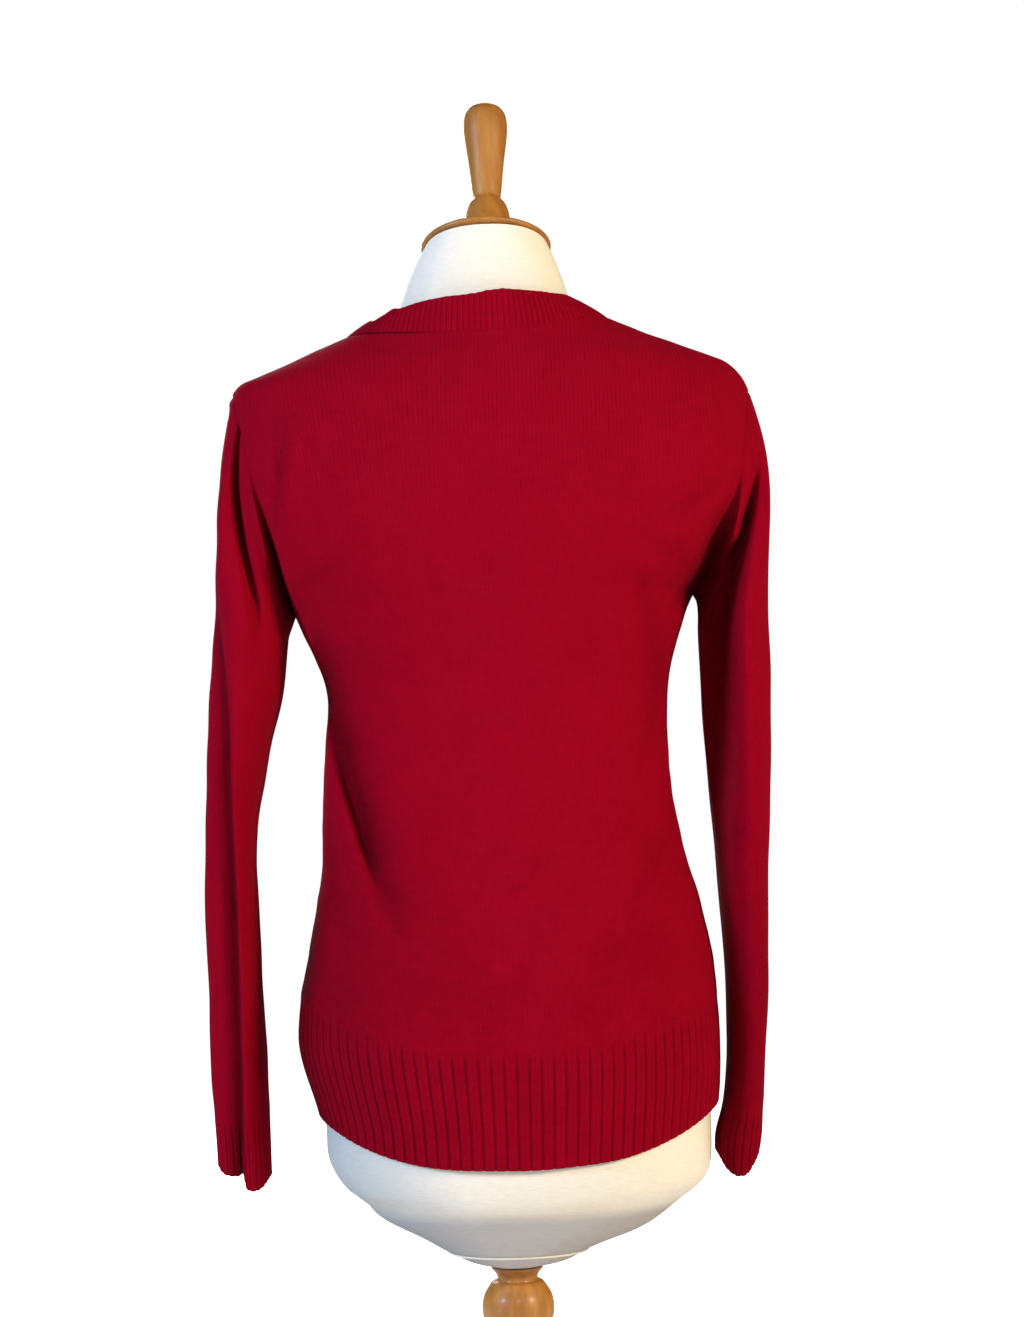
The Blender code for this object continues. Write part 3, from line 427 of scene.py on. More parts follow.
# troughs of the back and front: places across, heights, how deep, width to the right, to the left, lip
bodyCreases = {
    "back": [
        ((133, 128.5, 125, 121.5, 115.5, 109.5, 102.8, 97, 92), (704, 684, 660, 636, 612, 590, 568, 546,
                                                                 528), 11.5,
         15, 5.0, -0.6),
        ((112, 103, 96.5, 91, 84, 76), (598, 568, 546, 526, 508, 488), 4.2, 13, 8, -0.4),
        ((150, 146, 141, 136), (424, 462, 500, 540), 6.0, 9.0, 9.0, 0.4),
        ((126, 119, 112), (560, 520, 486), 2.4, 7, 10, 0.5),
        ((-96, -106, -111, -108, -98), (742, 706, 672, 636, 600), 3.2, 10, 12, -1.4),
        ((-70, -76, -78, -72), (700, 660, 612, 570), 1.2, 12, 10, -0.8),
        ((148, 150, 153, 160), (850, 824, 796, 764), 2.2, 3.0, 6, 1.0),
        ((158, 156, 153, 150), (856, 838, 820, 806), 1.0, 3.5, 4, 0.4),
        ((-164, -152, -134, -116), (812, 794, 782, 776), 1.6, 7, 9, 0.6),
        ((-146, -130, -110, -88), (742, 746, 756, 772), 1.6, 8, 8, 0.7),
        ((150, 130, 104), (732, 740, 756), 1.5, 7, 8, 0.7),
        ((-132, -118, -100, -84), (592, 560, 524, 496), 1.7, 8, 10, 0.8),
        ((34, 27, 24, 30), (652, 615, 580, 540), 0.7, 12, 14, 0.5),
        ((-20, -32, -40), (560, 528, 500), 0.8, 12, 12, 0.5),
        ((92, 66, 34), (528, 508, 494), 1.2, 8, 10, 0.6),
        ((104, 62, 20, -30), (474, 458, 450, 452), 1.0, 8, 9, 0.6),
        ((-50, -84, -120), (470, 478, 494), 1.0, 9, 9, 0.6),
        ((74, 86, 97), (902, 904, 909), 1.4, 4, 4, 0.9),
        ((-60, -70, -78), (906, 912, 923), 1.0, 5, 5, 0.6),
    ],
    "front": [
        ((-128, -120, -108, -90, -64), (664, 626, 590, 556, 528), 6.0, 14, 3.6, -1.5),
        ((128, 120, 108, 92), (652, 618, 584, 548), 3.2, 9, 12, 1.0),
        ((126, 116, 108, 98), (738, 718, 690, 660), 3.2, 9, 10, 1.2),
        ((-130, -120, -112), (740, 712, 676), 2.4, 9, 8, 0.9),
        ((152, 134, 112, 92), (744, 752, 762, 770), 2.0, 7, 8, 0.9),
        ((-148, -130, -108), (746, 756, 764), 1.8, 8, 7, 0.8),
        ((160, 150, 136, 126), (848, 822, 800, 786), 1.8, 6, 7, 0.8),
        ((-164, -152, -138), (846, 820, 802), 1.9, 7, 6, 0.8),
        ((-26, 10, 48), (700, 694, 700), 1.3, 9, 9, 0.7),
        ((64, 30, -8, -44), (640, 624, 620, 628), 1.4, 9, 9, 0.7),
        ((-36, 4, 40, 70), (572, 562, 564, 574), 1.3, 9, 9, 0.7),
        ((-94, -60, -20), (500, 486, 482), 1.1, 8, 9, 0.6),
        ((102, 70, 34), (512, 494, 486), 1.2, 8, 9, 0.6),
        ((6, 8, 14), (856, 826, 790), 0.9, 10, 10, 0.5),
        ((-52, -60, -66), (868, 842, 808), 1.1, 9, 9, 0.6),
        ((70, 78, 82), (872, 846, 812), 1.1, 9, 9, 0.6),
    ],
}


# the armhole seams are drawn in towards the body's middle, most where the sleeves hang against it: heights,
# the share of the depth that is lost, and how far that lasts into the sleeve
armholeTuck = {
    "left": ((700, 712, 722, 737, 765, 785, 804, 820, 836, 856),
             (0, 0.5, 0.84, 0.84, 0.60, 0.25, 0.08, 0.02, 0, 0),
             (9, 8, 6.6, 5.2, 2.8, 2.2, 2, 2, 2, 2)),
    "right": ((354, 400, 470, 560, 640, 700, 714, 727, 742, 760, 779, 798, 812, 830),
              (0, 0.14, 0.34, 0.5, 0.58, 0.62, 0.84, 0.90, 0.90, 0.74, 0.32, 0.10, 0.02, 0),
              (20, 20, 20, 20, 20, 20, 20, 20, 17, 5.5, 4, 3.2, 3, 2)),
    "front": 0.5,  # share of it in front
    "most": 0.95,
    "panelFrom": 90,  # distance from the middle past which the panels are drawn in
    "panelReach": {"left": 2.6, "right": 12.0},
    "panelFade": {"left": (716, 720), "right": (706, 727)},  # heights over which it starts below the underarm
}


def tuckIn(points, side, lineAt, fade=1.0):
    # depth times (1 - share * exp(-(distance / reach) ** p)), the distance being taken sideways from a line
    heights, shares, reaches = armholeTuck[side]
    z = points[..., 2]
    distance = np.abs(points[..., 0]) - lineAt(z, side)
    past = distance > 0
    own = distance / np.where(past, smoothTable(z, heights, reaches), armholeTuck["panelReach"][side])
    lost = smoothTable(z, heights, shares) * np.exp(-np.abs(own) ** np.where(past, 3.0, 2.0))
    lost = fade * np.clip(lost, 0, armholeTuck["most"])
    lost = lost * np.where(points[..., 1] >= 0, 1.0, armholeTuck["front"])
    moved = points.copy()
    moved[..., 1] *= 1 - lost
    # the second value is painted shade in the cavity where the cloth is drawn in
    return moved, 0.95 * np.clip(lost * 1.25 - 0.15, 0, 1)


# two layers of cloth; the inner one carries extra painted shade
cloth = {"thickness": 2.0, "bandThickness": 3.0, "rollGap": 0.06, "innerPaintedShade": 0.3}


def rimQuads(edge, other):
    # cells between an edge of one layer and the same edge of the other
    return np.stack([edge[1:], edge[:-1], other[:-1], other[1:]], -1)


def shellQuads(ids, other, closed):
    # the outer layer's cells, the inner one's turned over, and the rims between them
    faces = [gridQuads(ids), gridQuads(other)[:, ::-1], rimQuads(ids[0], other[0]),
             rimQuads(ids[-1], other[-1])[:, ::-1]]
    if not closed:
        faces += [rimQuads(ids[:, 0], other[:, 0])[:, ::-1], rimQuads(ids[:, -1], other[:, -1])]
    return np.concatenate(faces)


def clothShell(name, points, inward, uv, shade, closed, freeEdge=None, thickness=cloth["thickness"]):
    # outer layer and inner layer a thickness apart, rolled round towards each other at a free edge
    radius = thickness / 2 - cloth["rollGap"]
    roll = np.zeros(points.shape[:2])
    if freeEdge is not None:
        near = np.clip(1 - freeEdge / radius, 0, 1)
        roll = roll + radius * (1 - np.sqrt(1 - near ** 2))
    outer = points + inward * roll[..., None]
    inner = points + inward * (thickness - roll[..., None])
    ids = gridIds(points, closed)
    uvIds = np.arange(ids.size).reshape(ids.shape)
    faces = shellQuads(ids, ids + points.shape[0] * points.shape[1], closed)
    corners = shellQuads(uvIds, uvIds, closed)
    places = np.concatenate([outer.reshape(-1, 3), inner.reshape(-1, 3)]) * mm
    if insideOut(places, faces):
        faces, corners = faces[:, ::-1], corners[:, ::-1]
    piece = newMesh(name, places, faces.tolist())
    layer = piece.data.uv_layers.new(name="knit")
    layer.data.foreach_set("uv", (uv.reshape(-1, 2) * mm)[corners.ravel()].ravel())
    # painted shade: the shade share is written on every point and darkens the knit's colour, with more on the
    # inner layer
    shade = np.clip(shade, 0, 1).ravel()
    paint(piece, "paintedShade", "FLOAT", np.concatenate([shade, np.clip(shade + cloth["innerPaintedShade"], 0, 1)]))
    return piece


# shade of the back's low left flank: heights over which it comes in, then strength and reach of each part
flank = {"heights": (440, 600), "all": 0.06, "band": (0.48, 11), "wide": (0.16, 75)}


def flankShade(points, face):
    # the low left flank of the back lies in its own shadow: a narrow band along the side, a wide faint one
    if face == "front":
        return 0 * points[..., 0]
    x, z = points[..., 0], points[..., 2]
    fromSide = np.clip(halfWidth(z, "left", face) - x, 0, 400)
    low = smoothTable(z, flank["heights"], (1.0, 0.0))
    return low * (flank["all"] + trough(fromSide, flank["band"]) + trough(fromSide, flank["wide"]))


def knitPanel(name, face, points):
    # the plain section, sunk along the creases, at the seams and by a faint unevenness
    x, z = points[..., 0], points[..., 2]
    up, over = stepLength(points, 0), stepLength(points, 1)
    fromTop, fromSide = up[-1] - up, np.minimum(over, over[:, -1:] - over)
    ease = 1 - bell(np.minimum(np.minimum(up, fromTop), fromSide), panel["seamEase"])
    crease = creaseField(x, z, bodyCreases[face])
    deep = np.clip(crease / panel["creaseFull"], 0, 1)
    crease = np.minimum(crease * ease, panel["creaseMost"] * np.abs(points[..., 1]))
    waves = zip(panel["uneven"], panel["seeds"][face])
    sink = ease * sum(depth * softNoise(x, z, wave, seed) for (depth, wave), seed in waves)
    seamed = np.clip((740 - z) / 20, 0.12, 1)  # the underarm side seams show more than the armholes
    # behind, the neck's seam shows on the left only
    topped = smoothTable(x, (30, 66), (0.12, 1.0)) if face == "back" else 1.0
    sink += trough(fromSide, panel["sideSeam"]) * seamed + trough(fromTop, panel["topSeam"]) * topped
    # painted shade along the seams, in the creases and on the low left flank
    shade = trough(fromSide, panel["seamDark"]) * seamed + trough(fromTop, panel["seamDark"]) * topped
    shade = shade + panel["creaseDark"] * deep + flankShade(points, face)
    u = sectionArc(x, z, face) - 0.16 * np.clip((x - 40) / 90, 0, 1) * np.maximum(z - 780, 0)
    uv = np.stack([u, up + hem["top"][face][2]], -1)
    moved = points + sign[face] * gridNormals(points, False) * sink[..., None]
    moved[..., 1] -= crease * sign[face]
    for side in ("left", "right"):
        fades = armholeTuck["panelFade"][side]
        half = (sign[side] * x > armholeTuck["panelFrom"]) & (z > fades[0])
        fade = smoothTable(z[half], fades, (0.0, 1.0))
        moved[half], dark = tuckIn(moved[half], side, sideLine, fade)
        shade[half] += dark
    return clothShell(name, moved, sign[face] * gridNormals(moved, False), uv, shade, False)


def ribRelief(phase, flank):
    # 0 in the groove, 1 on top, with a shallow dip between the rib's two wales
    side = np.minimum(phase, 1 - phase)
    rise = np.clip(side / flank, 0, 1)
    return rise * rise * (3 - 2 * rise) - 0.16 * np.exp(-((phase - 0.5) / 0.07) ** 2)


def freeShares(length, count):
    # shares of a height from a free edge: close together round the roll, then even
    near = np.array([0, 0.08, 0.28, 0.55, 0.94])
    return np.concatenate([near, np.linspace(near[-1], length, count + 1)[1:]]) / length


def levelInward(points, closed, way):
    # the grid's normals turned inwards and laid level
    inward = way * gridNormals(points, closed)
    inward[..., 2] = 0
    return unit(inward)


def ribUv(phase, ribs, stitch, up):
    # u is the rib's number times the knit's width over one rib, v the distance up the grid
    return np.stack([np.append(phase, ribs) * stitch + np.zeros((len(up), 1)), wrapped(up)], -1)


def hemRib(name, face):
    # body sections from the free edge up to the panel, sunk between the ribs and flush at the join
    phase = np.linspace(0, hem["ribs"], hem["ribs"] * hem["ribColumns"] + 1)

    def edgeLine(share):
        # the free edge at a share of the half turn
        turn = (share - 0.5) * math.pi
        return sectionPoints(turn, levelLine(hem["edge"][face], hem["edgePower"], turn), face)

    turn = (evenShares(edgeLine, phase / hem["ribs"]) - 0.5) * math.pi
    low = levelLine(hem["edge"][face], hem["edgePower"], turn)
    high = levelLine(hem["top"][face], hem["topPower"], turn)
    relief = ribRelief(phase % 1, hem["flank"])
    drop = 0.25 * relief + 0.5 * softNoise(phase, 0 * phase, 9, 3)
    share = freeShares(hem["height"], hem["rows"])[:, None]
    z = (low - drop) * (1 - share) + high * share
    points = sectionPoints(turn + 0 * z, np.maximum(z, hem["lowest"]), face)
    points[..., 2] = z
    inward = levelInward(points, False, sign[face])
    inward[:, [0, -1]] = np.array([[1, 0, 0], [-1, 0, 0]])
    up, over = stepLength(points, 0), stepLength(points, 1)
    fromTop, fromSide = up[-1] - up, np.minimum(over, over[:, -1:] - over)
    near = 1 - trough(fromTop, hem["join"])
    depth = hem["relief"] * near * (1 - relief) + hem["inset"] - 0.5 * (1 - share) ** 3
    depth = depth + 0.5 * softNoise(points[..., 0], z, 55, 21) + trough(fromSide, hem["sideSeam"])
    depth = (depth - hem["relief"] * 0.15) * (1 - bell(fromTop, 3.0))
    # painted shade in the grooves between the ribs and on the low left flank
    paintedShade = smoothTable(points[..., 0], *hem["dark"][face])
    shade = paintedShade * (1 - np.clip(relief, 0, 1)) * near + flankShade(points, face)
    uv = np.stack([phase * hem["stitch"] + 0 * z, up], -1)
    return clothShell(name, points + inward * depth[..., None], inward, uv, shade, False, up)


# the sleeves hang beside the body: outer and inner side from the axis, and depth each way
sleeve = {
    "left": {
        "height": (300, 330, 356, 400, 456, 500, 543, 572, 601, 630, 660, 700),
        "outer": (213.5, 214, 215.3, 217.3, 217.5, 219, 218.3, 217, 216, 214.6, 212.6, 208.8),
        "inner": (175, 175.5, 176, 177.2, 179.4, 180.5, 181.8, 180, 174.5, 168.5, 160.5, 155.5),
        "back": (28, 28, 31, 36, 40, 43, 46, 48, 50, 52, 54, 56),
        "front": (26, 27, 31, 37, 41, 44, 46, 48, 51, 54, 56, 58),
    },
    "right": {
        "height": (300, 318, 335, 354, 387, 416, 445, 502, 560, 618, 660, 700),
        "outer": (171, 175, 178.5, 180, 182.6, 185, 186.8, 188.8, 191.6, 195, 195.8, 195.8),
        "inner": (148, 145.5, 146, 151.5, 156, 157, 157, 154.6, 151.4, 147.5, 146.2, 145.5),
        "back": (39, 39, 38, 38, 42, 44, 46, 49, 52, 54, 56, 58),
        "front": (37, 37, 37, 38, 42, 44, 46, 49, 52, 55, 57, 59),
    },
    "power": 2.4,
    "headEnd": 700,
    "backColumns": 124,
    "frontColumns": 68,
    "headRows": 72,
    "tubeRows": 104,
    "flare": {"left": 0.16, "right": 0.30},
    "sag": {"left": 0.9, "right": 0.55},  # how steeply the cloth leaves the underarm
    "cuffTop": {"left": 356, "right": 354},
    # the worn cuffs' lower edges: distance from the body's middle, height
    "cuffEdge": {"left": ((176, 180, 184, 190, 192.2, 194.5, 199, 206, 211, 215.5),
                          (315, 309.5, 307.5, 308, 309.5, 317.5, 317, 317.5, 319, 324)),
                 "right": ((146, 151.5, 155, 160, 166, 172, 176, 180.5),
                           (330, 324, 316, 311, 310, 312, 318, 326))},
    "cuffRibs": 32,
    "cuffColumns": 8,
    "cuffRelief": 0.6,
    "cuffRows": 12,
    "cuffStitch": 6.0,  # width of the knit over one rib, for its u
    "cuffHeight": 40,  # from the free edge to the join, on average
    "cuffFlank": 0.24,  # share of a rib over which it rises
    "cuffJoin": (0.85, 6.0),  # the ribs fade out: share and reach
    "seeds": {"left": 31, "right": 37},
    "seam": (0.5, 2.0),  # depth and reach of the armhole seam
    # painted shade along the armhole seam: strength and reach
    "seamDark": (0.25, 1.4),
    "seamAbove": {"left": 1.0, "right": 0.15},  # how much of it shows at the shoulder
    # the seam's end stands up in a small knot at the left shoulder: height, distance down and reach
    "knot": ((1.7, 7.5, 3.2), (-1.3, 15, 3.5)),
    "knotWidth": 9,
    "underPanel": (1.6, 3),  # how far the sleeve's end slips under the panel's edge, and over what distance
    # the right sleeve's lower half and its cuff hang in the body's shade
    "rightShade": ((360, 440, 540, 620), (0.26, 0.26, 0.12, 0.04)),
}

# lengthwise folds of the sleeves and cuffs: the cloth past an edge loses a share of its depth. Heights, the
# edge's distance from the middle of the body, the share, how far past the edge it lasts, the edge's
# softness; then the side that sinks (-1 inner, 1 outer), how dark the painted shade of its cavity is and how
# far that lasts
sleeveFolds = {
    "left": {
        "back": [
            ((690, 714, 738, 766, 785, 811, 825, 844, 864, 880),
             (174, 175.3, 178.4, 183.5, 185.6, 186.9, 186.2, 184.7, 182.2, 181),
             (0, 0.16, 0.34, 0.48, 0.54, 0.52, 0.42, 0.26, 0.12, 0),
             (9, 7.5, 5.5, 4.2, 3.4, 2.7, 2.4, 2.2, 2, 2),
             (1.6, 1.4, 1.1, 0.8, 0.8, 0.8, 0.8, 0.8, 0.8, 0.8), -1, 0.9, 4),
            ((300, 325, 374, 444, 515, 585, 657, 700, 736, 756),
             (193.5, 193, 192, 191.9, 192.5, 193.9, 194.5, 197.9, 200.7, 202),
             (0.42, 0.42, 0.40, 0.36, 0.34, 0.34, 0.34, 0.28, 0.12, 0),
             60, (0.7, 0.7, 0.7, 0.7, 0.7, 0.7, 0.8, 1.0, 1.4, 2), 1, 2.1, 8),
        ],
        "front": [
            ((400, 470, 540, 620, 690), (197, 198, 199, 194, 188), (0, 0.14, 0.20, 0.14, 0), 40, 2.4, -1,
             0.3, 8),
        ],
    },
    "right": {
        "back": [
            ((515, 547, 575, 604, 632, 672, 696, 719, 741, 760, 779, 798, 812, 826),
             (153, 156.5, 159.5, 162, 164.5, 166.5, 167.5, 170, 174, 178.6, 183, 187, 188.8, 189.5),
             (0, 0.34, 0.58, 0.76, 0.84, 0.88, 0.90, 0.90, 0.90, 0.86, 0.62, 0.24, 0.04, 0),
             (60, 60, 60, 60, 60, 60, 60, 60, 34, 7.5, 5, 3.6, 3, 3),
             (5, 4.5, 3.6, 2.8, 2.2, 1.8, 1.6, 1.4, 1.2, 1.0, 0.9, 0.8, 0.8, 0.8), -1, 0.8, 60),
        ],
        "front": [
            ((400, 470, 540, 620, 690), (168, 169, 172, 170, 166), (0, 0.16, 0.22, 0.16, 0), 40, 2.4, 1,
             0.3, 8),
        ],
    },
}


def foldIn(points, side):
    # depth times (1 - share * edge * exp(-(past / reach) ** 2)), edge being an S-curve across the fold's edge
    moved = points.copy()
    z, out = points[..., 2], np.abs(points[..., 0])
    dark = np.zeros_like(z)
    for face, own in (("back", points[..., 1] >= 0), ("front", points[..., 1] < 0)):
        for heights, edges, shares, reaches, softs, way, shade, fades in sleeveFolds[side][face]:
            past = way * (out - smoothTable(z, heights, edges))
            edge = 1 / (1 + np.exp(-np.clip(past / smoothTable(z, heights, softs), -40, 40)))
            past = np.maximum(past, 0)
            share = smoothTable(z, heights, shares) * edge * bell(past, smoothTable(z, heights, reaches))
            moved[..., 1] *= 1 - own * np.clip(share, 0, 0.95)
            # painted shade in the fold's cavity
            dark = np.maximum(dark, own * shade * share * bell(past, fades))
    return moved, dark


# creases of the sleeves where they lie on the photographed side and on the hidden one, as for the body
sleeveCreases = {
    "left": {
        "back": [
            ((198, 190, 180), (628, 614, 606), 1.0, 6, 7, 0.5),
            ((214, 208, 202), (566, 548, 536), 1.0, 6, 7, 0.5),
            ((186, 194, 199), (520, 506, 500), 0.9, 6, 7, 0.5),
            ((212, 207, 200), (452, 440, 432), 0.9, 6, 7, 0.5),
            ((184, 190, 197), (410, 398, 392), 0.8, 6, 7, 0.5),
            ((170, 174, 180), (700, 684, 664), 1.6, 6, 8, 0.6),
        ],
        "front": [
            ((185, 184, 180, 172), (850, 812, 774, 742), 3.6, 6, 4, -0.8),
            ((165, 174, 182, 188), (730, 704, 684, 668), 2.4, 6, 7, 0.8),
            ((180, 192, 204), (640, 628, 626), 1.6, 7, 7, 0.8),
            ((206, 196, 184), (604, 588, 582), 1.8, 7, 7, 0.8),
            ((184, 196, 208), (520, 508, 510), 1.2, 7, 7, 0.6),
            ((210, 200, 188), (470, 458, 456), 1.2, 7, 7, 0.6),
        ],
    },
    "right": {
        "back": [
            ((-186, -176, -166), (632, 616, 606), 1.2, 7, 7, 0.6),
            ((-164, -172, -182), (560, 546, 540), 1.0, 7, 7, 0.5),
            ((-182, -172, -162), (492, 478, 470), 0.9, 7, 7, 0.5),
            ((-160, -168, -176), (420, 408, 402), 0.9, 7, 7, 0.5),
            ((-176, -168, -160), (374, 366, 360), 0.8, 5, 6, 0.5),
        ],
        "front": [
            ((-186, -184, -178, -168), (838, 806, 772, 742), 3.4, 4, 6, 0.8),
            ((-160, -168, -176, -182), (728, 704, 684, 668), 2.2, 7, 6, 0.8),
            ((-158, -170, -184), (632, 618, 614), 1.6, 7, 7, 0.8),
            ((-184, -172, -160), (596, 580, 572), 1.6, 7, 7, 0.8),
            ((-162, -172, -184), (512, 500, 498), 1.2, 7, 7, 0.6),
            ((-182, -172, -162), (462, 450, 446), 1.2, 7, 7, 0.6),
        ],
    },
}


def sleeveRing(side, turn, z):
    # superellipse section; the turn runs from 0 at the outer line over 0.5 at the back to 1 at the inner line
    outer, inner, back, front = (smoothTable(z, sleeve[side]["height"], sleeve[side][key])
                                 for key in ("outer", "inner", "back", "front"))
    cosine, sine = np.cos(math.pi * turn), np.sin(math.pi * turn)
    x = (outer + inner) / 2 + (outer - inner) / 2 * bent(cosine, sleeve["power"])
    y = np.where(sine > 0, back, front) * bent(sine, sleeve["power"])
    return np.stack([sign[side] * x, y, z + 0 * x], -1)


def sleeveHead(side, loop, turn):
    # cubic from the armhole loop, leaving outwards and down, to the top ring of the tube
    end, below = (sleeveRing(side, turn, np.full_like(turn, sleeve["headEnd"] - lower)) for lower in (0, 10))
    inner = 1 - np.abs(1 - turn)
    facing = np.sign(np.sin(math.pi * turn))
    dive = 0.9 * np.sin(math.pi * np.clip((inner - 0.3) / 0.7, 0, 1)) * np.where(facing > 0, 1.0, 0.6)
    start = unit(np.stack([sign[side] * (sleeve["flare"][side] + 0.75 * inner), -facing * dive,
                           -(1 - 0.9 * inner)], -1))
    sag = np.clip((inner - 0.78) / 0.2, 0, 1)[:, None] * sleeve["sag"][side]
    start = unit(start * (1 - sag) + sag * np.array([-0.35 * sign[side], 0, -1.0]))
    length = np.linalg.norm(end - loop, axis=-1, keepdims=True)
    drop = (np.linspace(0, 1, sleeve["headRows"] + 1) ** 1.15)[:, None, None]
    points = (1 + 2 * drop) * (1 - drop) ** 2 * loop + drop ** 2 * (3 - 2 * drop) * end
    points = points + drop * (1 - drop) ** 2 * length * start
    return points + drop ** 2 * (drop - 1) * length * (below - end) / 10


def armholeLoop(back, front, column):
    # shoulder tip, down the back edge, underarm, up the front edge
    backEdge = back[panel["lowRows"]["back"]:, column][::-1]
    return np.concatenate([backEdge, front[panel["lowRows"]["front"]:, column][1:-1]])


def sleeveUv(points, start):
    # u runs both ways from the outer line to the seam column at start, v down the grid
    ring = wrapped(points)
    u = stepLength(ring, 1)
    return np.stack([u - u[:, start:start + 1], -stepLength(ring, 0)], -1)


def knitSleeve(name, side, loop):
    # the head's cubic and the tube's rings in one grid, sunk by creases, folded and tucked in at the armhole
    behind, ahead = sleeve["backColumns"], sleeve["frontColumns"]
    turn = np.concatenate([np.arange(behind) / behind, 1 + np.arange(ahead) / ahead])
    own = np.arange(len(loop) + 1) / panel["armholeRows"]
    around = np.concatenate([loop, loop[:1]])
    loop = np.stack([np.interp(turn, own, around[:, axis]) for axis in range(3)], -1)
    z = np.linspace(sleeve["headEnd"], sleeve["cuffTop"][side], sleeve["tubeRows"] + 1)[1:, None]
    points = np.concatenate([sleeveHead(side, loop, turn), sleeveRing(side, turn + 0 * z, z + 0 * turn)])
    x, z = points[..., 0], points[..., 2]
    inward = sign[side] * gridNormals(points, True)
    inward[-1, :, 2] = 0
    inward = unit(inward)
    down = stepLength(points, 0)
    ease = 1 - bell(np.minimum(down, down[-1] - down), 5)
    facing = np.sin(math.pi * turn)
    crease = sum(np.clip(sign[face] * facing * 3, 0, 1) * creaseField(x, z, sleeveCreases[side][face])
                 for face in ("back", "front"))
    wide = 110 * np.minimum(turn, 2 - turn)
    seamed = smoothTable(z, (760, 800), (1.0, sleeve["seamAbove"][side]))
    sink = 0.4 * softNoise(wide * np.sign(facing), z, 60, sleeve["seeds"][side]) * ease
    sink += trough(down, sleeve["seam"]) * seamed
    moved = points + inward * sink[..., None]
    moved[..., 1] -= crease * ease * np.sign(facing)
    moved, dark = foldIn(moved, side)
    moved, darker = tuckIn(moved, side, seamAt)
    moved[..., 0] -= sign[side] * trough(down, sleeve["underPanel"])
    deep = np.clip(crease / panel["creaseFull"], 0, 1)
    # painted shade along the armhole seam, in the creases and in the cavities of the folds and the tuck
    shade = trough(down, sleeve["seamDark"]) * seamed + 0.35 * deep + np.maximum(dark, darker)
    if side == "left":
        knot = sum(trough(down - at, (height, reach)) for height, at, reach in sleeve["knot"])
        moved[..., 0] += knot * bell(wide, sleeve["knotWidth"])
    else:
        shade = shade + smoothTable(z, *sleeve["rightShade"]) * (facing > 0)
    inward = sign[side] * gridNormals(moved, True)
    moved, inward, shade = (np.roll(grid, -behind, 1) for grid in (moved, inward, shade))
    return clothShell(name, moved, inward, sleeveUv(moved, ahead), shade, True)


def knitCuff(name, side):
    # the sleeve's rings from the worn edge up to the sleeve's end, sunk between the ribs
    top = float(sleeve["cuffTop"][side])
    phase = np.arange(sleeve["cuffRibs"] * sleeve["cuffColumns"]) / sleeve["cuffColumns"]

    def joinLine(share):
        # the folded ring where cuff and sleeve join
        return foldIn(sleeveRing(side, 2 * share, np.full_like(share, top)), side)[0]

    turn = 2 * evenShares(joinLine, phase / sleeve["cuffRibs"])
    relief = ribRelief(phase % 1, sleeve["cuffFlank"])
    bottom = smoothTable(np.abs(joinLine(turn / 2)[:, 0]), *sleeve["cuffEdge"][side])
    bottom = bottom - 0.4 * relief + 0.4 * softNoise(phase, 0 * phase, 7, 5)
    bottom = bottom + np.where(turn > 1, 3.0, 0.0) * np.sin(math.pi * turn) ** 2
    share = freeShares(sleeve["cuffHeight"], sleeve["cuffRows"])[:, None]
    z = bottom * (1 - share) + top * share
    points, dark = foldIn(sleeveRing(side, turn + 0 * z, z), side)
    inward = levelInward(points, True, -sign[side])
    up = stepLength(points, 0)
    near = 1 - trough(up[-1] - up, sleeve["cuffJoin"])
    depth = sleeve["cuffRelief"] * near * (1 - relief)
    # painted shade in the grooves between the ribs and in the folds' cavities
    shade = 0.40 * (1 - np.clip(relief, 0, 1)) * near + dark
    # the right cuff takes painted shade on its back half, more towards its inner side
    if side == "right":
        shade = shade + np.where(turn < 1, sleeve["rightShade"][1][0], 0.0)
        shade = shade + 0.08 * smoothTable(np.abs(points[..., 0]), (152, 172), (1, 0))
    uv = ribUv(phase, sleeve["cuffRibs"], sleeve["cuffStitch"], up)
    return clothShell(name, points + inward * depth[..., None], inward, uv, shade, True, up)


def neckEdge(points):
    # the part of a panel's top row that lies along the neck
    first = (panel["columns"] - panel["neckColumns"]) // 2
    return points[-1, first:first + panel["neckColumns"] + 1]


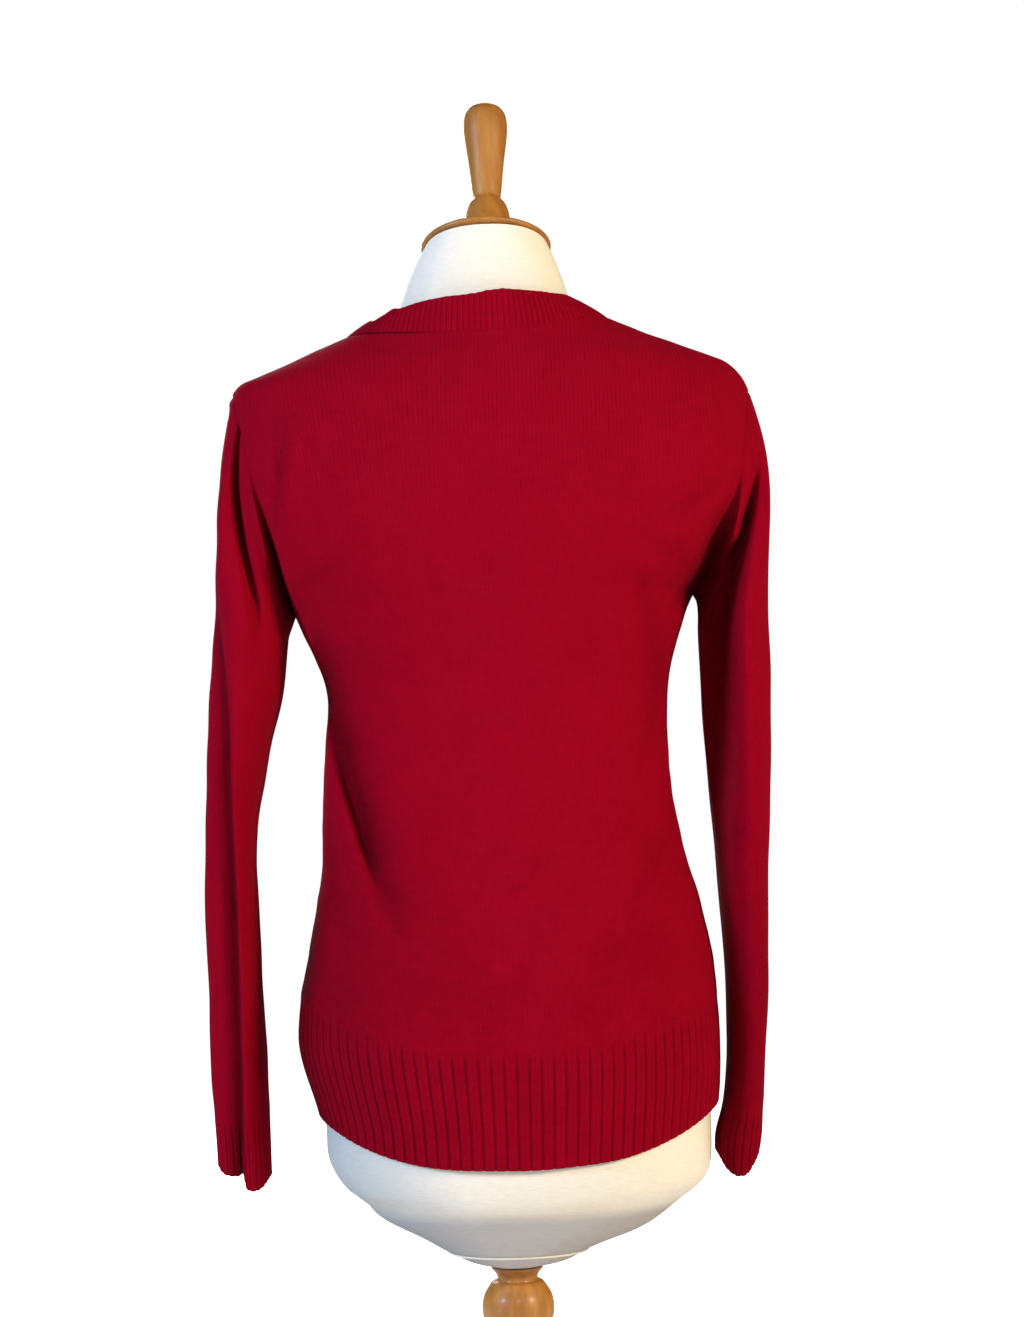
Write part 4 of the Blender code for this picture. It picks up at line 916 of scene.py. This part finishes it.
def neckBand(name, back, front):
    # the band's lower edge follows the panels' neck, and it rises with a lean that changes round the neck
    corners = np.concatenate([neckEdge(back)[::-1], neckEdge(front)[1:]])
    turns = np.concatenate([0.5 - neckTurns("back")[::-1] / math.pi, 1.5 + neckTurns("front")[1:] / math.pi])
    travelled = stepLength(corners[None], 1)[0]
    phase = np.arange(neck["ribs"] * neck["ribColumns"]) / neck["ribColumns"]
    place = phase / neck["ribs"] * travelled[-1]
    bottom = np.stack([np.interp(place, travelled, corners[:, axis]) for axis in range(3)], -1)
    turn = np.interp(place, travelled, turns)
    cosine, sine = np.cos(math.pi * turn), np.sin(math.pi * turn)
    middle, behind = sine ** 2, sine > 0
    lean, high = neck["lean"], neck["bandHeight"]
    lean = lean["side"] * (1 - middle) + np.where(behind, lean["back"], lean["front"]) * middle
    height = np.where(cosine > 0, high["left"], high["right"]) * (1 - middle)
    height = height + np.where(behind, high["back"], high["front"]) * middle
    for tall, wave, seed in neck["uneven"]:
        height = height + tall * softNoise(place, 0 * place, wave, seed)
    height = height + np.where(behind, smoothTable(bottom[:, 0], *neck["edge"]), 0.8)
    rise = np.stack([-lean * cosine, -lean * sine, np.sqrt(1 - lean ** 2)], -1) * height[:, None]
    share = (1 - freeShares(neck["height"], neck["rows"])[::-1])[:, None, None]
    points = bottom + share * rise
    inward = unit(-gridNormals(points, True))
    up = stepLength(points, 0)
    fromTop = up[-1] - up
    relief = ribRelief(phase % 1, neck["flank"])
    near = (1 - bell(up, 2.0)) * (1 - 0.5 * bell(fromTop, 1.5))
    depth = neck["relief"] * near * (1 - relief) - neck["belly"] * np.sin(math.pi * share[..., 0]) ** 0.7
    topped = np.where(behind, smoothTable(bottom[:, 0], (30, 66), (0.1, 1.0)), 1.0)
    # painted shade in the grooves between the ribs and along the seam at the band's foot, behind mostly on
    # the left
    shade = 0.22 * (1 - np.clip(relief, 0, 1)) * near + 0.35 * bell(up, 1.5) * topped
    uv = ribUv(phase, neck["ribs"], neck["stitch"], up)
    return clothShell(name, points + inward * depth[..., None], inward, uv, shade, True, fromTop,
                      cloth["bandThickness"])


# the dress form: a torso under jersey, closed at the neck and at the stand
form = {
    "low": {
        "height": (246.5, 250, 254, 260, 265.7, 271.6, 277.4, 283.3, 289, 295, 301, 306.6, 312.5, 318.3,
                   324, 330,
                   336, 347),
        "left": (18, 33, 41, 52.5, 61.5, 71.5, 83, 94, 101.7, 106, 113.5, 121.4, 126, 129.6, 132.4, 134.2,
                 134.8,
                 134.0),
        "right": (18, 36, 44.5, 55, 69.2, 86.8, 98.5, 106.8, 114, 121.3, 130.4, 136.5, 140, 141.8, 142.2,
                  142.4, 142.4,
                  142.6),
        "back": (18, 29, 36.5, 46, 53.5, 61.5, 69.5, 77.5, 85, 92, 96.5, 99.2, 101, 102.6, 103.6, 104.2,
                 104.6,
                 105.2),
        "front": (18, 28, 35, 44, 51.5, 59, 67, 74, 81, 88, 92.5, 95.2, 97, 98.6, 99.4, 99.8, 100, 100.6),
    },
    "neck": {
        "height": (927, 934, 941, 949, 958, 970, 978, 984),
        "left": (80, 73, 67.5, 64.5, 61.5, 56, 52, 47.5),
        "right": (72, 65, 61, 57.5, 55, 50.5, 47.5, 44),
        "back": (46, 45, 45, 45.5, 46, 46, 45.5, 45),
        "front": (56, 54, 52, 50, 48.5, 47, 45.5, 44.5),
    },
    "gap": 10,  # to the outer face of the cloth, behind and in front
    # the same sideways by height: narrower where the arms hang against it
    "sideGap": ((372, 420, 480, 560, 640, 705, 800, 860), (8, 10, 11, 13, 12, 19, 19, 10)),
    "drop": 4,
    "leanStart": 949,
    "lean": math.radians(14),
    "columns": 128,
    # rows from the foot to the hem, from there to the neck, and from there to the top
    "rows": ((246.5, 350, 70), (350, 900, 90), (900, 984, 62)),
    "pipingHeight": 258,
    "pipingRadius": 0.9,
    "jerseySeams": 4,
    # painted shade tints: under the ledge, on the low left, and on the right under the ledge
    "underShadeTint": (0.74, 0.78, 0.88),
    "leftShadeTint": (0.54, 0.62, 0.71),
    "rightShadeTint": (0.75, 0.70, 0.64),
}


def formTable():
    # heights with half widths and depths: the bare bottom, the covered torso inside the cloth, the neck
    inside = np.linspace(372, 912, 16)
    outside = inside + form["drop"]
    columns = {"height": inside}
    for side in ("left", "right"):
        above = outside > armhole["high"][side]
        width = np.where(above, shoulderAcross(outside, side), sideLine(outside, side))
        columns[side] = width - np.interp(inside, *form["sideGap"])
    for face in ("back", "front"):
        columns[face] = depthAt(outside, face) - form["gap"]
    return {key: np.concatenate([form["low"][key], columns[key], form["neck"][key]]) for key in columns}


def formRing(turn, z, sections):
    # superellipse ring; the neck takes up the lean of its wooden cap towards the top
    cosine, sine = np.cos(turn), np.sin(turn)
    left, right, back, front = (np.interp(z, sections["height"], sections[key])
                                for key in ("left", "right", "back", "front"))
    x = np.where(cosine > 0, left, right) * bent(cosine, body["power"])
    y = np.where(sine > 0, back, front) * bent(sine, body["power"])
    lean = np.clip((z - form["leanStart"]) / (form["neck"]["height"][-1] - form["leanStart"]), 0, 1)
    return np.stack([x, y, z + lean * math.tan(form["lean"]) * y], -1)


def softenRows(values, passes):
    # each pass averages a row with its two neighbours, which rounds the corners of the table
    for _ in range(passes):
        values = np.concatenate([values[:1], (values[:-2] + 2 * values[1:-1] + values[2:]) / 4, values[-1:]])
    return values


def formPaintedShade(points, sections):
    # painted shade: the jersey is duller under the ledge, cooler on the low left and warmer and duller under
    # the ledge on the right: a product of shade tints by height and side
    x, z = points[..., 0], points[..., 2]
    left, right = (np.interp(z, sections["height"], sections[side]) for side in ("left", "right"))
    out = x / np.where(x > 0, left, right)
    under = smoothTable(z, (288, 297), (1.0, 0.0))
    low = smoothTable(z, (350, 420), (1.0, 0.0))
    colour = np.ones(x.shape + (4,))
    for key, share in (("underShadeTint", under), ("leftShadeTint", low * smoothTable(out, (0.30, 0.92), (0.0, 1.0))),
                       ("rightShadeTint", under * smoothTable(-out, (0.30, 0.92), (0.0, 1.0)))):
        colour[..., :3] *= 1 - share[..., None] * (1 - np.array(form[key]))
    return colour


def formCover(name):
    # rings of the softened tables, with a groove beside the piping and faint upright seams in the jersey
    sections = formTable()
    even = {"height": np.linspace(form["low"]["height"][0], form["neck"]["height"][-1], 900)}
    rounder = smoothTable(even["height"], (300, 345), (0.0, 1.0))
    for key in ("left", "right", "back", "front"):
        raw = np.interp(even["height"], sections["height"], sections[key])
        even[key] = (1 - rounder) * softenRows(raw, 5) + rounder * softenRows(raw, 120)
    z = np.unique(np.concatenate([np.linspace(*part) for part in form["rows"]]))[:, None]
    turn = np.linspace(0, 2 * math.pi, form["columns"], endpoint=False)
    points = formRing(turn + 0 * z, z + 0 * turn, even)
    seam = 0.7 * bell(z - form["pipingHeight"], 1.3)
    for angle in np.arange(form["jerseySeams"]) * 2 * math.pi / form["jerseySeams"]:
        away = np.abs((turn - angle + math.pi) % (2 * math.pi) - math.pi)
        seam = seam + 0.25 * bell(away * 95, 1.2) * (z > form["pipingHeight"] + 4)
    points = points - gridNormals(points, True) * np.clip(seam, 0, 0.8)[..., None]
    poles = np.array([[0, 0, z[0, 0]], points[-1].mean(0)])
    piece = cappedRings(name, points, poles)
    # painted shade colour of the jersey, plain white at the two poles
    paint(piece, "paintedShadeColour", "FLOAT_COLOR", np.concatenate([formPaintedShade(points, even).reshape(-1, 4), np.ones((2,
                                                                                                        4))]))
    return piece, even


def pipingRing(name, sections):
    # a thin cord of round section laid along the form's ring at one height
    turn = np.linspace(0, 2 * math.pi, 160, endpoint=False)
    path = formRing(turn, np.full_like(turn, form["pipingHeight"]), sections)
    upright = np.array([0, 0, 1.0])
    side = unit(np.cross(np.roll(path, -1, 0) - np.roll(path, 1, 0), upright))
    section = np.linspace(0, 2 * math.pi, 10, endpoint=False)[None, :, None]
    spoke = np.cos(section) * side[:, None] + np.sin(section) * upright
    points = path[:, None] + form["pipingRadius"] * spoke
    ids = gridIds(points, True)
    faces = gridQuads(np.concatenate([ids, ids[:1]]))
    places = points.reshape(-1, 3) * mm
    piece = newMesh(name, places, (faces[:, ::-1] if insideOut(places, faces) else faces).tolist())
    # the piping takes no painted shade
    paint(piece, "paintedShadeColour", "FLOAT_COLOR", np.ones((len(places), 4)))
    return piece


# turned wood: profiles of radius and height, top to bottom, before their corners are rounded
wood = {
    "steps": 96,
    "rowStep": 1.1,  # distance between the rows that a profile is split into
    "capCentre": (2, 0, 988),
    "finialFoot": (0.5, 0, 988),
    "tilt": math.radians(14),
    "cap": ((0, 3.5), (30, 3.5), (41.5, 3.5), (45, 3.1), (47.4, 1.8), (48.5, 0), (47.6, -1.5), (45.5, -2.6),
            (42.5, -3.5), (0, -3.5)),
    "finial": ((0, 116.9), (5, 116.7), (10, 115.7), (13.6, 113.6), (15.8, 109.6), (16.7, 103), (16.6, 96),
               (15.6, 87),
               (14.1, 76), (12.8, 65), (11.9, 56), (11.3, 49.5), (10.6, 44), (10.2, 40.6), (10.2, 39),
               (11.8, 37.8),
               (13.4, 36), (14.8, 33.2), (15.8, 30), (16.5, 26.5), (16.9, 23), (17.6, 20.4), (18.4, 18),
               (18.6, 12.4),
               (20.6, 10.4), (21, 8), (20.5, 3.8), (0, 3.8)),
    "flare": ((0, 246), (19.5, 246), (18.4, 244.2), (16.4, 242), (14.6, 239.4), (14, 237.9), (14.5, 237.2),
              (15.1, 236.4), (15, 235.6), (14.6, 235.2)),
    "ballRadius": 26,
    "ballCentre": 216.5,
    "pole": ((15.5, 195), (15.2, 192), (15.3, 186), (15.5, 120), (15.5, 66), (16.4, 60), (19, 54), (24, 48.5),
             (27.6, 44), (29.5, 38), (30, 32), (30, 24.3), (0, 24.3)),
    "base": ((0, 24), (60, 24), (113, 24), (117, 23.7), (122, 22.4), (129, 21.1), (133, 19.4), (136, 16.4),
             (137.4, 14.2), (140.5, 13), (143.4, 10.8), (145, 7), (144.6, 3.5), (143.6, 1.2), (142, 0), (0,
                                                                                                         0)),
}


def turnedWood(name, profile, foot=(0, 0, 0), tilt=0.0):
    # the profile carried round the axis, its rows split finely and softened so that no corner is sharp
    profile = np.array(profile, float)
    travelled = stepLength(profile[None], 1)[0]
    count = int(np.clip(travelled[-1] / wood["rowStep"], 60, 240))
    at = np.linspace(0, travelled[-1], count)
    radius, height = (np.interp(at, travelled, profile[:, axis]) for axis in range(2))
    for values in (radius, height):
        values[1:-1] = softenRows(values, 2)[1:-1]
    turn = np.linspace(0, 2 * math.pi, wood["steps"], endpoint=False)

    def leaning(rings, heights):
        # points round the upright axis, turned about x by the tilt and moved to the foot
        x, y = rings[..., 0], rings[..., 1]
        return np.stack([x, y * math.cos(tilt) - heights * math.sin(tilt),
                         y * math.sin(tilt) + heights * math.cos(tilt)], -1) + np.array(foot)

    rows = radius[1:-1, None, None] * np.stack([np.cos(turn), np.sin(turn)], -1)
    points = leaning(rows, height[1:-1, None])
    poles = leaning(np.zeros((2, 2)), height[[0, -1]])
    return cappedRings(name, points[::-1], poles[::-1])


def columnProfile():
    # flare and bead, then the ball as a circle with two scored rings, then the pole
    centre, ball = wood["ballCentre"], wood["ballRadius"]
    angle = np.linspace(math.acos(19.5 / ball), math.pi - math.acos(21.5 / ball), 60)
    height = centre + ball * np.cos(angle)
    score = 0.7 * bell(height - 231, 0.8) + 0.35 * bell(height - 228.6, 0.6)
    return [*wood["flare"], *zip((ball * np.sin(angle) - score).tolist(), height.tolist()), *wood["pole"]]


class NodeTree:
    # adds nodes to a tree and wires them; a number, vector or colour goes on the socket itself
    def __init__(self, tree):
        self.tree = tree

    def wire(self, source, target):
        # links a socket, or writes a value on the target
        if isinstance(source, (int, float, tuple)):
            colour = target.type == "RGBA" and len(source) == 3
            target.default_value = (*source, 1.0) if colour else source
        else:
            self.tree.links.new(source, target)

    def add(self, kind, inputs=(), **settings):
        # a new node with its settings, then its inputs by name or number
        node = self.tree.nodes.new(kind)
        for key, value in settings.items():
            setattr(node, key, value)
        self.put(node, dict(inputs))
        return node

    def put(self, node, inputs):
        # wires several inputs of a node
        for key, value in inputs.items():
            self.wire(value, node.inputs[key])

    def math(self, operation, *values, clamp=False):
        # the operation on the values
        return self.add("ShaderNodeMath", enumerate(values), operation=operation, use_clamp=clamp).outputs[0]

    def times(self, first, second):
        # first * second
        return self.math("MULTIPLY", first, second)

    def plus(self, first, second, clamp=False):
        # first + second
        return self.math("ADD", first, second, clamp=clamp)

    def minus(self, first, second, clamp=False):
        # first - second
        return self.math("SUBTRACT", first, second, clamp=clamp)

    def mix(self, factor, first, second, blend="MIX"):
        # first * (1 - factor) + second * factor, or another blend
        inputs = {0: factor, 6: first, 7: second}
        return self.add("ShaderNodeMix", inputs, data_type="RGBA", blend_type=blend).outputs[2]

    def noise(self, place, scale, detail=2.0, roughness=0.5):
        # fractal noise round 0.5
        if isinstance(scale, tuple):  # its own scale along each axis
            place = self.add("ShaderNodeMapping", {"Vector": place, "Scale": scale}).outputs[0]
            scale = 1.0
        inputs = {"Vector": place, "Scale": scale, "Detail": detail, "Roughness": roughness}
        return self.add("ShaderNodeTexNoise", inputs).outputs["Fac"]

    def ramp(self, value, low, high, first=0.0, last=1.0):
        # an S-curve from first, where the value is low, to last, where it is high
        inputs = {"Value": value, "From Min": low, "From Max": high, "To Min": first, "To Max": last}
        return self.add("ShaderNodeMapRange", inputs, interpolation_type="SMOOTHSTEP").outputs[0]

    def objectPlace(self):
        # the point's place on its object, in metres
        return self.add("ShaderNodeTexCoord").outputs["Object"]

    def bump(self, shader, height, strength, distance):
        # tilts the shader's normal by the slope of the height
        inputs = {"Strength": strength, "Distance": distance, "Height": height}
        self.wire(self.add("ShaderNodeBump", inputs).outputs[0], shader.inputs["Normal"])


def nodeGroup(name, inputs, outputs):
    # an empty group with named inputs, each a vector or a number with its own value, and number outputs
    group = bpy.data.node_groups.new(name, "ShaderNodeTree")
    for label, value in inputs.items():
        kind = "NodeSocketVector" if value is None else "NodeSocketFloat"
        socket = group.interface.new_socket(label, in_out="INPUT", socket_type=kind)
        if value is not None:
            socket.default_value = value
    for label in outputs:
        group.interface.new_socket(label, in_out="OUTPUT", socket_type="NodeSocketFloat")
    tree = NodeTree(group)
    return group, tree, tree.add("NodeGroupInput").outputs, tree.add("NodeGroupOutput").inputs


def newMaterial(name, shine):
    # a material whose shader takes the plain values given
    material = bpy.data.materials.new(name)
    material.use_nodes = True
    tree, shader = NodeTree(material.node_tree), material.node_tree.nodes["Principled BSDF"]
    tree.put(shader, shine)
    return material, tree, shader


knit = {
    "wale": 3.0 * mm,
    "course": 2.3 * mm,
    # lit is the red's own colour, crown a lighter red for the painted highlight on the stitches' crowns, deep
    # a near-black red for painted shade
    "lit": (0.252, 0.0006, 0.0105),
    "crown": (0.315, 0.0024, 0.0195),
    "deep": (0.022, 0.0001, 0.0012),
    "bump": (0.34, 0.0006),  # strength and distance
    "shine": {"Roughness": 0.92, "Specular IOR Level": 0.02, "Sheen Weight": 0.05, "Sheen Roughness": 0.6,
              "Sheen Tint": (0.9, 0.05, 0.12)},
}


def stitchGroup():
    # stockinette: each wale is a column of V stitches, whose two legs lean away from its centre
    group, t, given, out = nodeGroup("stitches", {"Place": None, "Wale": 0.003, "Course": 0.0023},
                                     ("Height", "Gap", "Stitch"))
    split = t.add("ShaderNodeSeparateXYZ", {0: given["Place"]}).outputs
    wander = t.noise(given["Place"], (60.0, 14.0, 1.0))
    wale = t.plus(t.math("DIVIDE", split[0], given["Wale"]), t.times(t.minus(wander, 0.5), 0.55))
    fromCentre = t.times(t.math("ABSOLUTE", t.minus(t.math("FRACT", wale), 0.5)), 2.0)
    slanted = t.minus(t.math("DIVIDE", split[1], given["Course"]), t.times(fromCentre, 0.85))
    across = t.times(t.minus(t.math("FRACT", slanted), 0.5), 2.0)
    leg = t.minus(1.0, t.times(across, across))
    strand = t.times(t.ramp(fromCentre, 0.55, 1.0, 1.0, 0.0), t.ramp(fromCentre, 0.0, 0.28, 0.72, 1.0))
    height = t.times(strand, t.math("MULTIPLY_ADD", leg, 0.45, 0.55))
    t.wire(height, out["Height"])
    t.wire(t.minus(1.0, height, clamp=True), out["Gap"])
    cell = t.add("ShaderNodeCombineXYZ", {0: t.math("FLOOR", wale), 1: t.math("FLOOR", slanted)}).outputs[0]
    single = t.add("ShaderNodeTexWhiteNoise", {"Vector": cell}, noise_dimensions="2D")
    t.wire(single.outputs["Value"], out["Stitch"])
    return group


def knitMaterial(stitches):
    # painted shade in the stitches' gaps and the piece's own painted shade darken the red, uneven rows and
    # patches vary its tone, and a painted highlight on the stitches' crowns lightens it; gaps and crowns show
    # most on the upper back
    material, t, shader = newMaterial("redKnit", knit["shine"])
    uv = t.add("ShaderNodeUVMap", uv_map="knit").outputs[0]
    place = t.objectPlace()
    group = t.add("ShaderNodeGroup", node_tree=stitches)
    t.put(group, {"Place": uv, "Wale": knit["wale"], "Course": knit["course"]})
    stitch = group.outputs
    level = t.add("ShaderNodeSeparateXYZ", {0: place}).outputs[2]
    patches = t.ramp(t.noise(uv, (150.0, 45.0, 1.0), 3.0, 0.6), 0.3, 0.7, 0.3, 1.0)
    lines = t.times(t.ramp(level, 0.74, 0.87, 0.30, 1.0), patches)
    # painted shade in the gaps between stitches, strongest high up
    dark = t.times(t.times(stitch["Gap"], lines), 0.23)
    dark = t.plus(dark, t.times(t.minus(stitch["Stitch"], 0.5), 0.07))
    dark = t.plus(dark, t.ramp(t.noise(uv, (70.0, 300.0, 1.0), 3.0, 0.6), 0.3, 0.7, 0.035, -0.035))
    dark = t.plus(dark, t.ramp(t.noise(place, 26.0, 4.0, 0.6), 0.35, 0.68, 0.035, -0.035))
    # painted shade from the piece's creases, seams, folds and cavities
    paintedShade = t.add("ShaderNodeAttribute", attribute_name="paintedShade").outputs["Fac"]
    dark = t.plus(dark, t.times(paintedShade, 0.95), clamp=True)
    # painted highlight on the stitches' crowns, strongest high up
    crown = t.times(t.ramp(stitch["Height"], 0.72, 0.96), lines)
    light = t.mix(t.times(crown, 0.66), knit["lit"], knit["crown"])
    t.wire(t.mix(dark, light, knit["deep"]), shader.inputs["Base Color"])
    fuzz = t.noise(place, 900.0, 2.0, 0.6)
    t.bump(shader, t.math("MULTIPLY_ADD", stitch["Height"], lines, t.times(fuzz, 0.35)), *knit["bump"])
    return material


jersey = {"light": (0.83, 0.80, 0.69), "dark": (0.73, 0.70, 0.60), "bump": (0.35, 0.0003),
          "shine": {"Roughness": 0.88, "Specular IOR Level": 0.2}}


def jerseyMaterial():
    # fine level rows and soft blotches between two creams, times the form's painted shade colour
    material, t, shader = newMaterial("creamJersey", jersey["shine"])
    place = t.objectPlace()
    rows = t.noise(place, (160.0, 160.0, 900.0), 3.0, 0.6)
    blotch = t.noise(place, 16.0, 3.0, 0.55)
    tone = t.plus(t.ramp(rows, 0.38, 0.64, 0.0, 0.42), t.ramp(blotch, 0.4, 0.7, 0.0, 0.3), clamp=True)
    paintedShadeColour = t.add("ShaderNodeAttribute", attribute_name="paintedShadeColour").outputs["Color"]
    cream = t.mix(tone, jersey["light"], jersey["dark"])
    t.wire(t.mix(1.0, cream, paintedShadeColour, "MULTIPLY"), shader.inputs["Base Color"])
    weave = t.noise(place, (1500.0, 1500.0, 2600.0))
    t.bump(shader, t.math("MULTIPLY_ADD", rows, 0.5, weave), *jersey["bump"])
    return material


varnish = {"light": (0.470, 0.200, 0.027), "dark": (0.29, 0.106, 0.013), "roughness": (0.42, 0.58),
           "bump": (0.12, 0.0003), "shine": {"Coat Weight": 0.16, "Coat Roughness": 0.18}}


def grainGroup():
    # wood grain: long streaks and bands up the axis, and fine pores
    group, t, given, out = nodeGroup("grain", {"Place": None, "Scale": 1.0}, ("Tone", "Pores"))
    scaled = t.add("ShaderNodeVectorMath", operation="SCALE")
    t.put(scaled, {0: given["Place"], "Scale": given["Scale"]})
    place = scaled.outputs[0]
    streaks = t.noise(place, (95.0, 95.0, 7.0), 5.0, 0.62)
    bands = t.noise(place, (28.0, 28.0, 3.0), 3.0, 0.55)
    t.wire(t.math("MULTIPLY_ADD", streaks, 0.55, t.times(bands, 0.45)), out["Tone"])
    t.wire(t.ramp(t.noise(place, (620.0, 620.0, 40.0)), 0.56, 0.72), out["Pores"])
    return group


def woodMaterial(grain, name):
    # the grain's tone runs from the light to the dark honey, its pores are dark and sunk, the varnish is worn
    material, t, shader = newMaterial(name, varnish["shine"])
    place = t.objectPlace()
    group = t.add("ShaderNodeGroup", node_tree=grain)
    t.put(group, {"Place": place, "Scale": 1.0})
    pores = group.outputs["Pores"]
    colour = t.mix(t.ramp(group.outputs["Tone"], 0.36, 0.66), varnish["light"], varnish["dark"])
    t.wire(t.mix(t.times(pores, 0.35), colour, varnish["dark"]), shader.inputs["Base Color"])
    worn = t.noise(place, 60.0, 3.0, 0.6)
    t.wire(t.ramp(worn, 0.3, 0.7, *varnish["roughness"]), shader.inputs["Roughness"])
    t.bump(shader, pores, *varnish["bump"])
    return material


studio = {
    "floorSize": 40.0,
    "aim": (0, 0, 0.62),  # where the lights point
    "cameraAt": (-0.0086, 1.8, 0.5656),
    "pitch": math.atan((820 - 658.5) / 2466),  # eye level below the picture's middle, over the focal length
    "roll": math.radians(1.63),
    "lens": 67.4,
    "ambient": 0.06,
    "key": {"at": (-0.15, 3.1, 1.9), "size": 0.8, "power": 18, "colour": (1.0, 0.98, 0.95)},
    "window": {"at": (2.4, 1.7, 1.65), "size": 0.8, "power": 66, "colour": (0.80, 0.95, 1.30)},
    "lamp": {"at": (-2.3, 1.85, 1.6), "size": 0.8, "power": 67, "colour": (1.20, 0.98, 0.68)},
    "front": {"at": (0.7, -2.6, 1.9), "size": 1.4, "power": 70, "colour": (1.0, 0.98, 0.95)},
}


def placeLight(name):
    # a round area light turned from its place to the aim
    given = studio[name]
    light = bpy.data.lights.new(name, "AREA")
    light.shape, light.size = "DISK", given["size"]
    light.energy, light.color = given["power"], given["colour"]
    lamp = bpy.data.objects.new(name, light)
    bpy.context.scene.collection.objects.link(lamp)
    lamp.location = given["at"]
    lamp.rotation_euler = (Vector(studio["aim"]) - lamp.location).to_track_quat("-Z", "Y").to_euler()


def makeRoom():
    # a world that is white to the eye and dim as light, and four lights
    world = bpy.data.worlds.new("paleRoom")
    bpy.context.scene.world = world
    world.use_nodes = True
    t, background = NodeTree(world.node_tree), world.node_tree.nodes["Background"]
    seen = t.add("ShaderNodeLightPath").outputs["Is Camera Ray"]
    t.put(background, {"Strength": t.ramp(seen, 0.0, 1.0, studio["ambient"], 1.0), "Color": (1.0, 1.0, 1.0)})
    for name in ("key", "window", "lamp", "front"):
        placeLight(name)


def makeFloor():
    # a pale square that glows to the eye, more the further it is from the stand, so that it meets the white
    half = studio["floorSize"] / 2
    corners = np.array([[-half, -half, 0], [half, -half, 0], [half, half, 0], [-half, half, 0]])
    floor = newMesh("floor", corners, [[0, 1, 2, 3]])
    material, t, shader = newMaterial("paleFloor", {"Base Color": (0.86, 0.86, 0.86), "Roughness": 0.9,
                                                    "Specular IOR Level": 0.0, "Emission Color": (1, 1, 1)})
    seen = t.add("ShaderNodeLightPath").outputs["Is Camera Ray"]
    away = t.add("ShaderNodeVectorMath", {0: t.objectPlace()}, operation="LENGTH").outputs["Value"]
    t.wire(t.times(seen, t.ramp(away, 0.3, 1.3, 0.42, 0.97)), shader.inputs["Emission Strength"])
    floor.data.materials.append(material)


def makeCamera():
    # looks along -y, pitched up and rolled
    camera = bpy.data.cameras.new("camera")
    camera.lens, camera.sensor_width, camera.sensor_fit = studio["lens"], 36.0, "AUTO"
    camera.clip_start, camera.clip_end = 0.05, 100.0
    eye = bpy.data.objects.new("camera", camera)
    bpy.context.scene.collection.objects.link(eye)
    eye.location = studio["cameraAt"]
    ahead = Vector((0, -math.cos(studio["pitch"]), math.sin(studio["pitch"])))
    eye.rotation_mode = "QUATERNION"
    eye.rotation_quaternion = Quaternion(ahead, studio["roll"]) @ ahead.to_track_quat("-Z", "Y")
    bpy.context.scene.camera = eye
    bpy.context.scene.view_settings.view_transform = "Standard"
    bpy.context.scene.view_settings.look = "None"


def dress(piece, finish):
    # gives a piece its material, its body and its slot
    piece.data.materials.append(finish)
    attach(piece, "root")


makeRoom()
makeFloor()
makeCamera()
print("studio ready")

redKnit, creamJersey = knitMaterial(stitchGroup()), jerseyMaterial()
honeyWood = woodMaterial(grainGroup(), "honeyWood")
print("materials ready")

backPoints, frontPoints = bodyPanel("back"), bodyPanel("front")
knitted = {"back_panel": knitPanel("knitBack", "back", backPoints),
           "front_panel": knitPanel("knitFront", "front", frontPoints)}
print("panels ready")
for side, column in (("left", -1), ("right", 0)):
    loop = armholeLoop(backPoints, frontPoints, column)
    knitted["sleeve_" + side] = knitSleeve("knitSleeve_" + side, side, loop)
    knitted["cuff_" + side] = knitCuff("knitCuff_" + side, side)
print("sleeves ready")
knitted["neck_band"] = neckBand("knitNeckBand", backPoints, frontPoints)
for face in ("back", "front"):
    knitted["hem_rib_" + face] = hemRib("knitHem_" + face, face)
print("bands ready")

cover, formSections = formCover("formCover")
for piece in (cover, pipingRing("formPiping", formSections)):
    dress(piece, creamJersey)
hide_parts("form_torso")
print("form ready")

woodPieces = {
    "neck_cap": turnedWood("turnedCap", wood["cap"], wood["capCentre"], wood["tilt"]),
    "neck_finial": turnedWood("turnedFinial", wood["finial"], wood["finialFoot"], wood["tilt"]),
    "stand_column": turnedWood("turnedColumn", columnProfile()),
    "stand_base": turnedWood("turnedBase", wood["base"]),
}
for node, piece in woodPieces.items():
    dress(piece, honeyWood)
    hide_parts(node)
print("wood ready")

for node, piece in knitted.items():
    dress(piece, redKnit)
    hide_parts(node)
print("cloth ready")
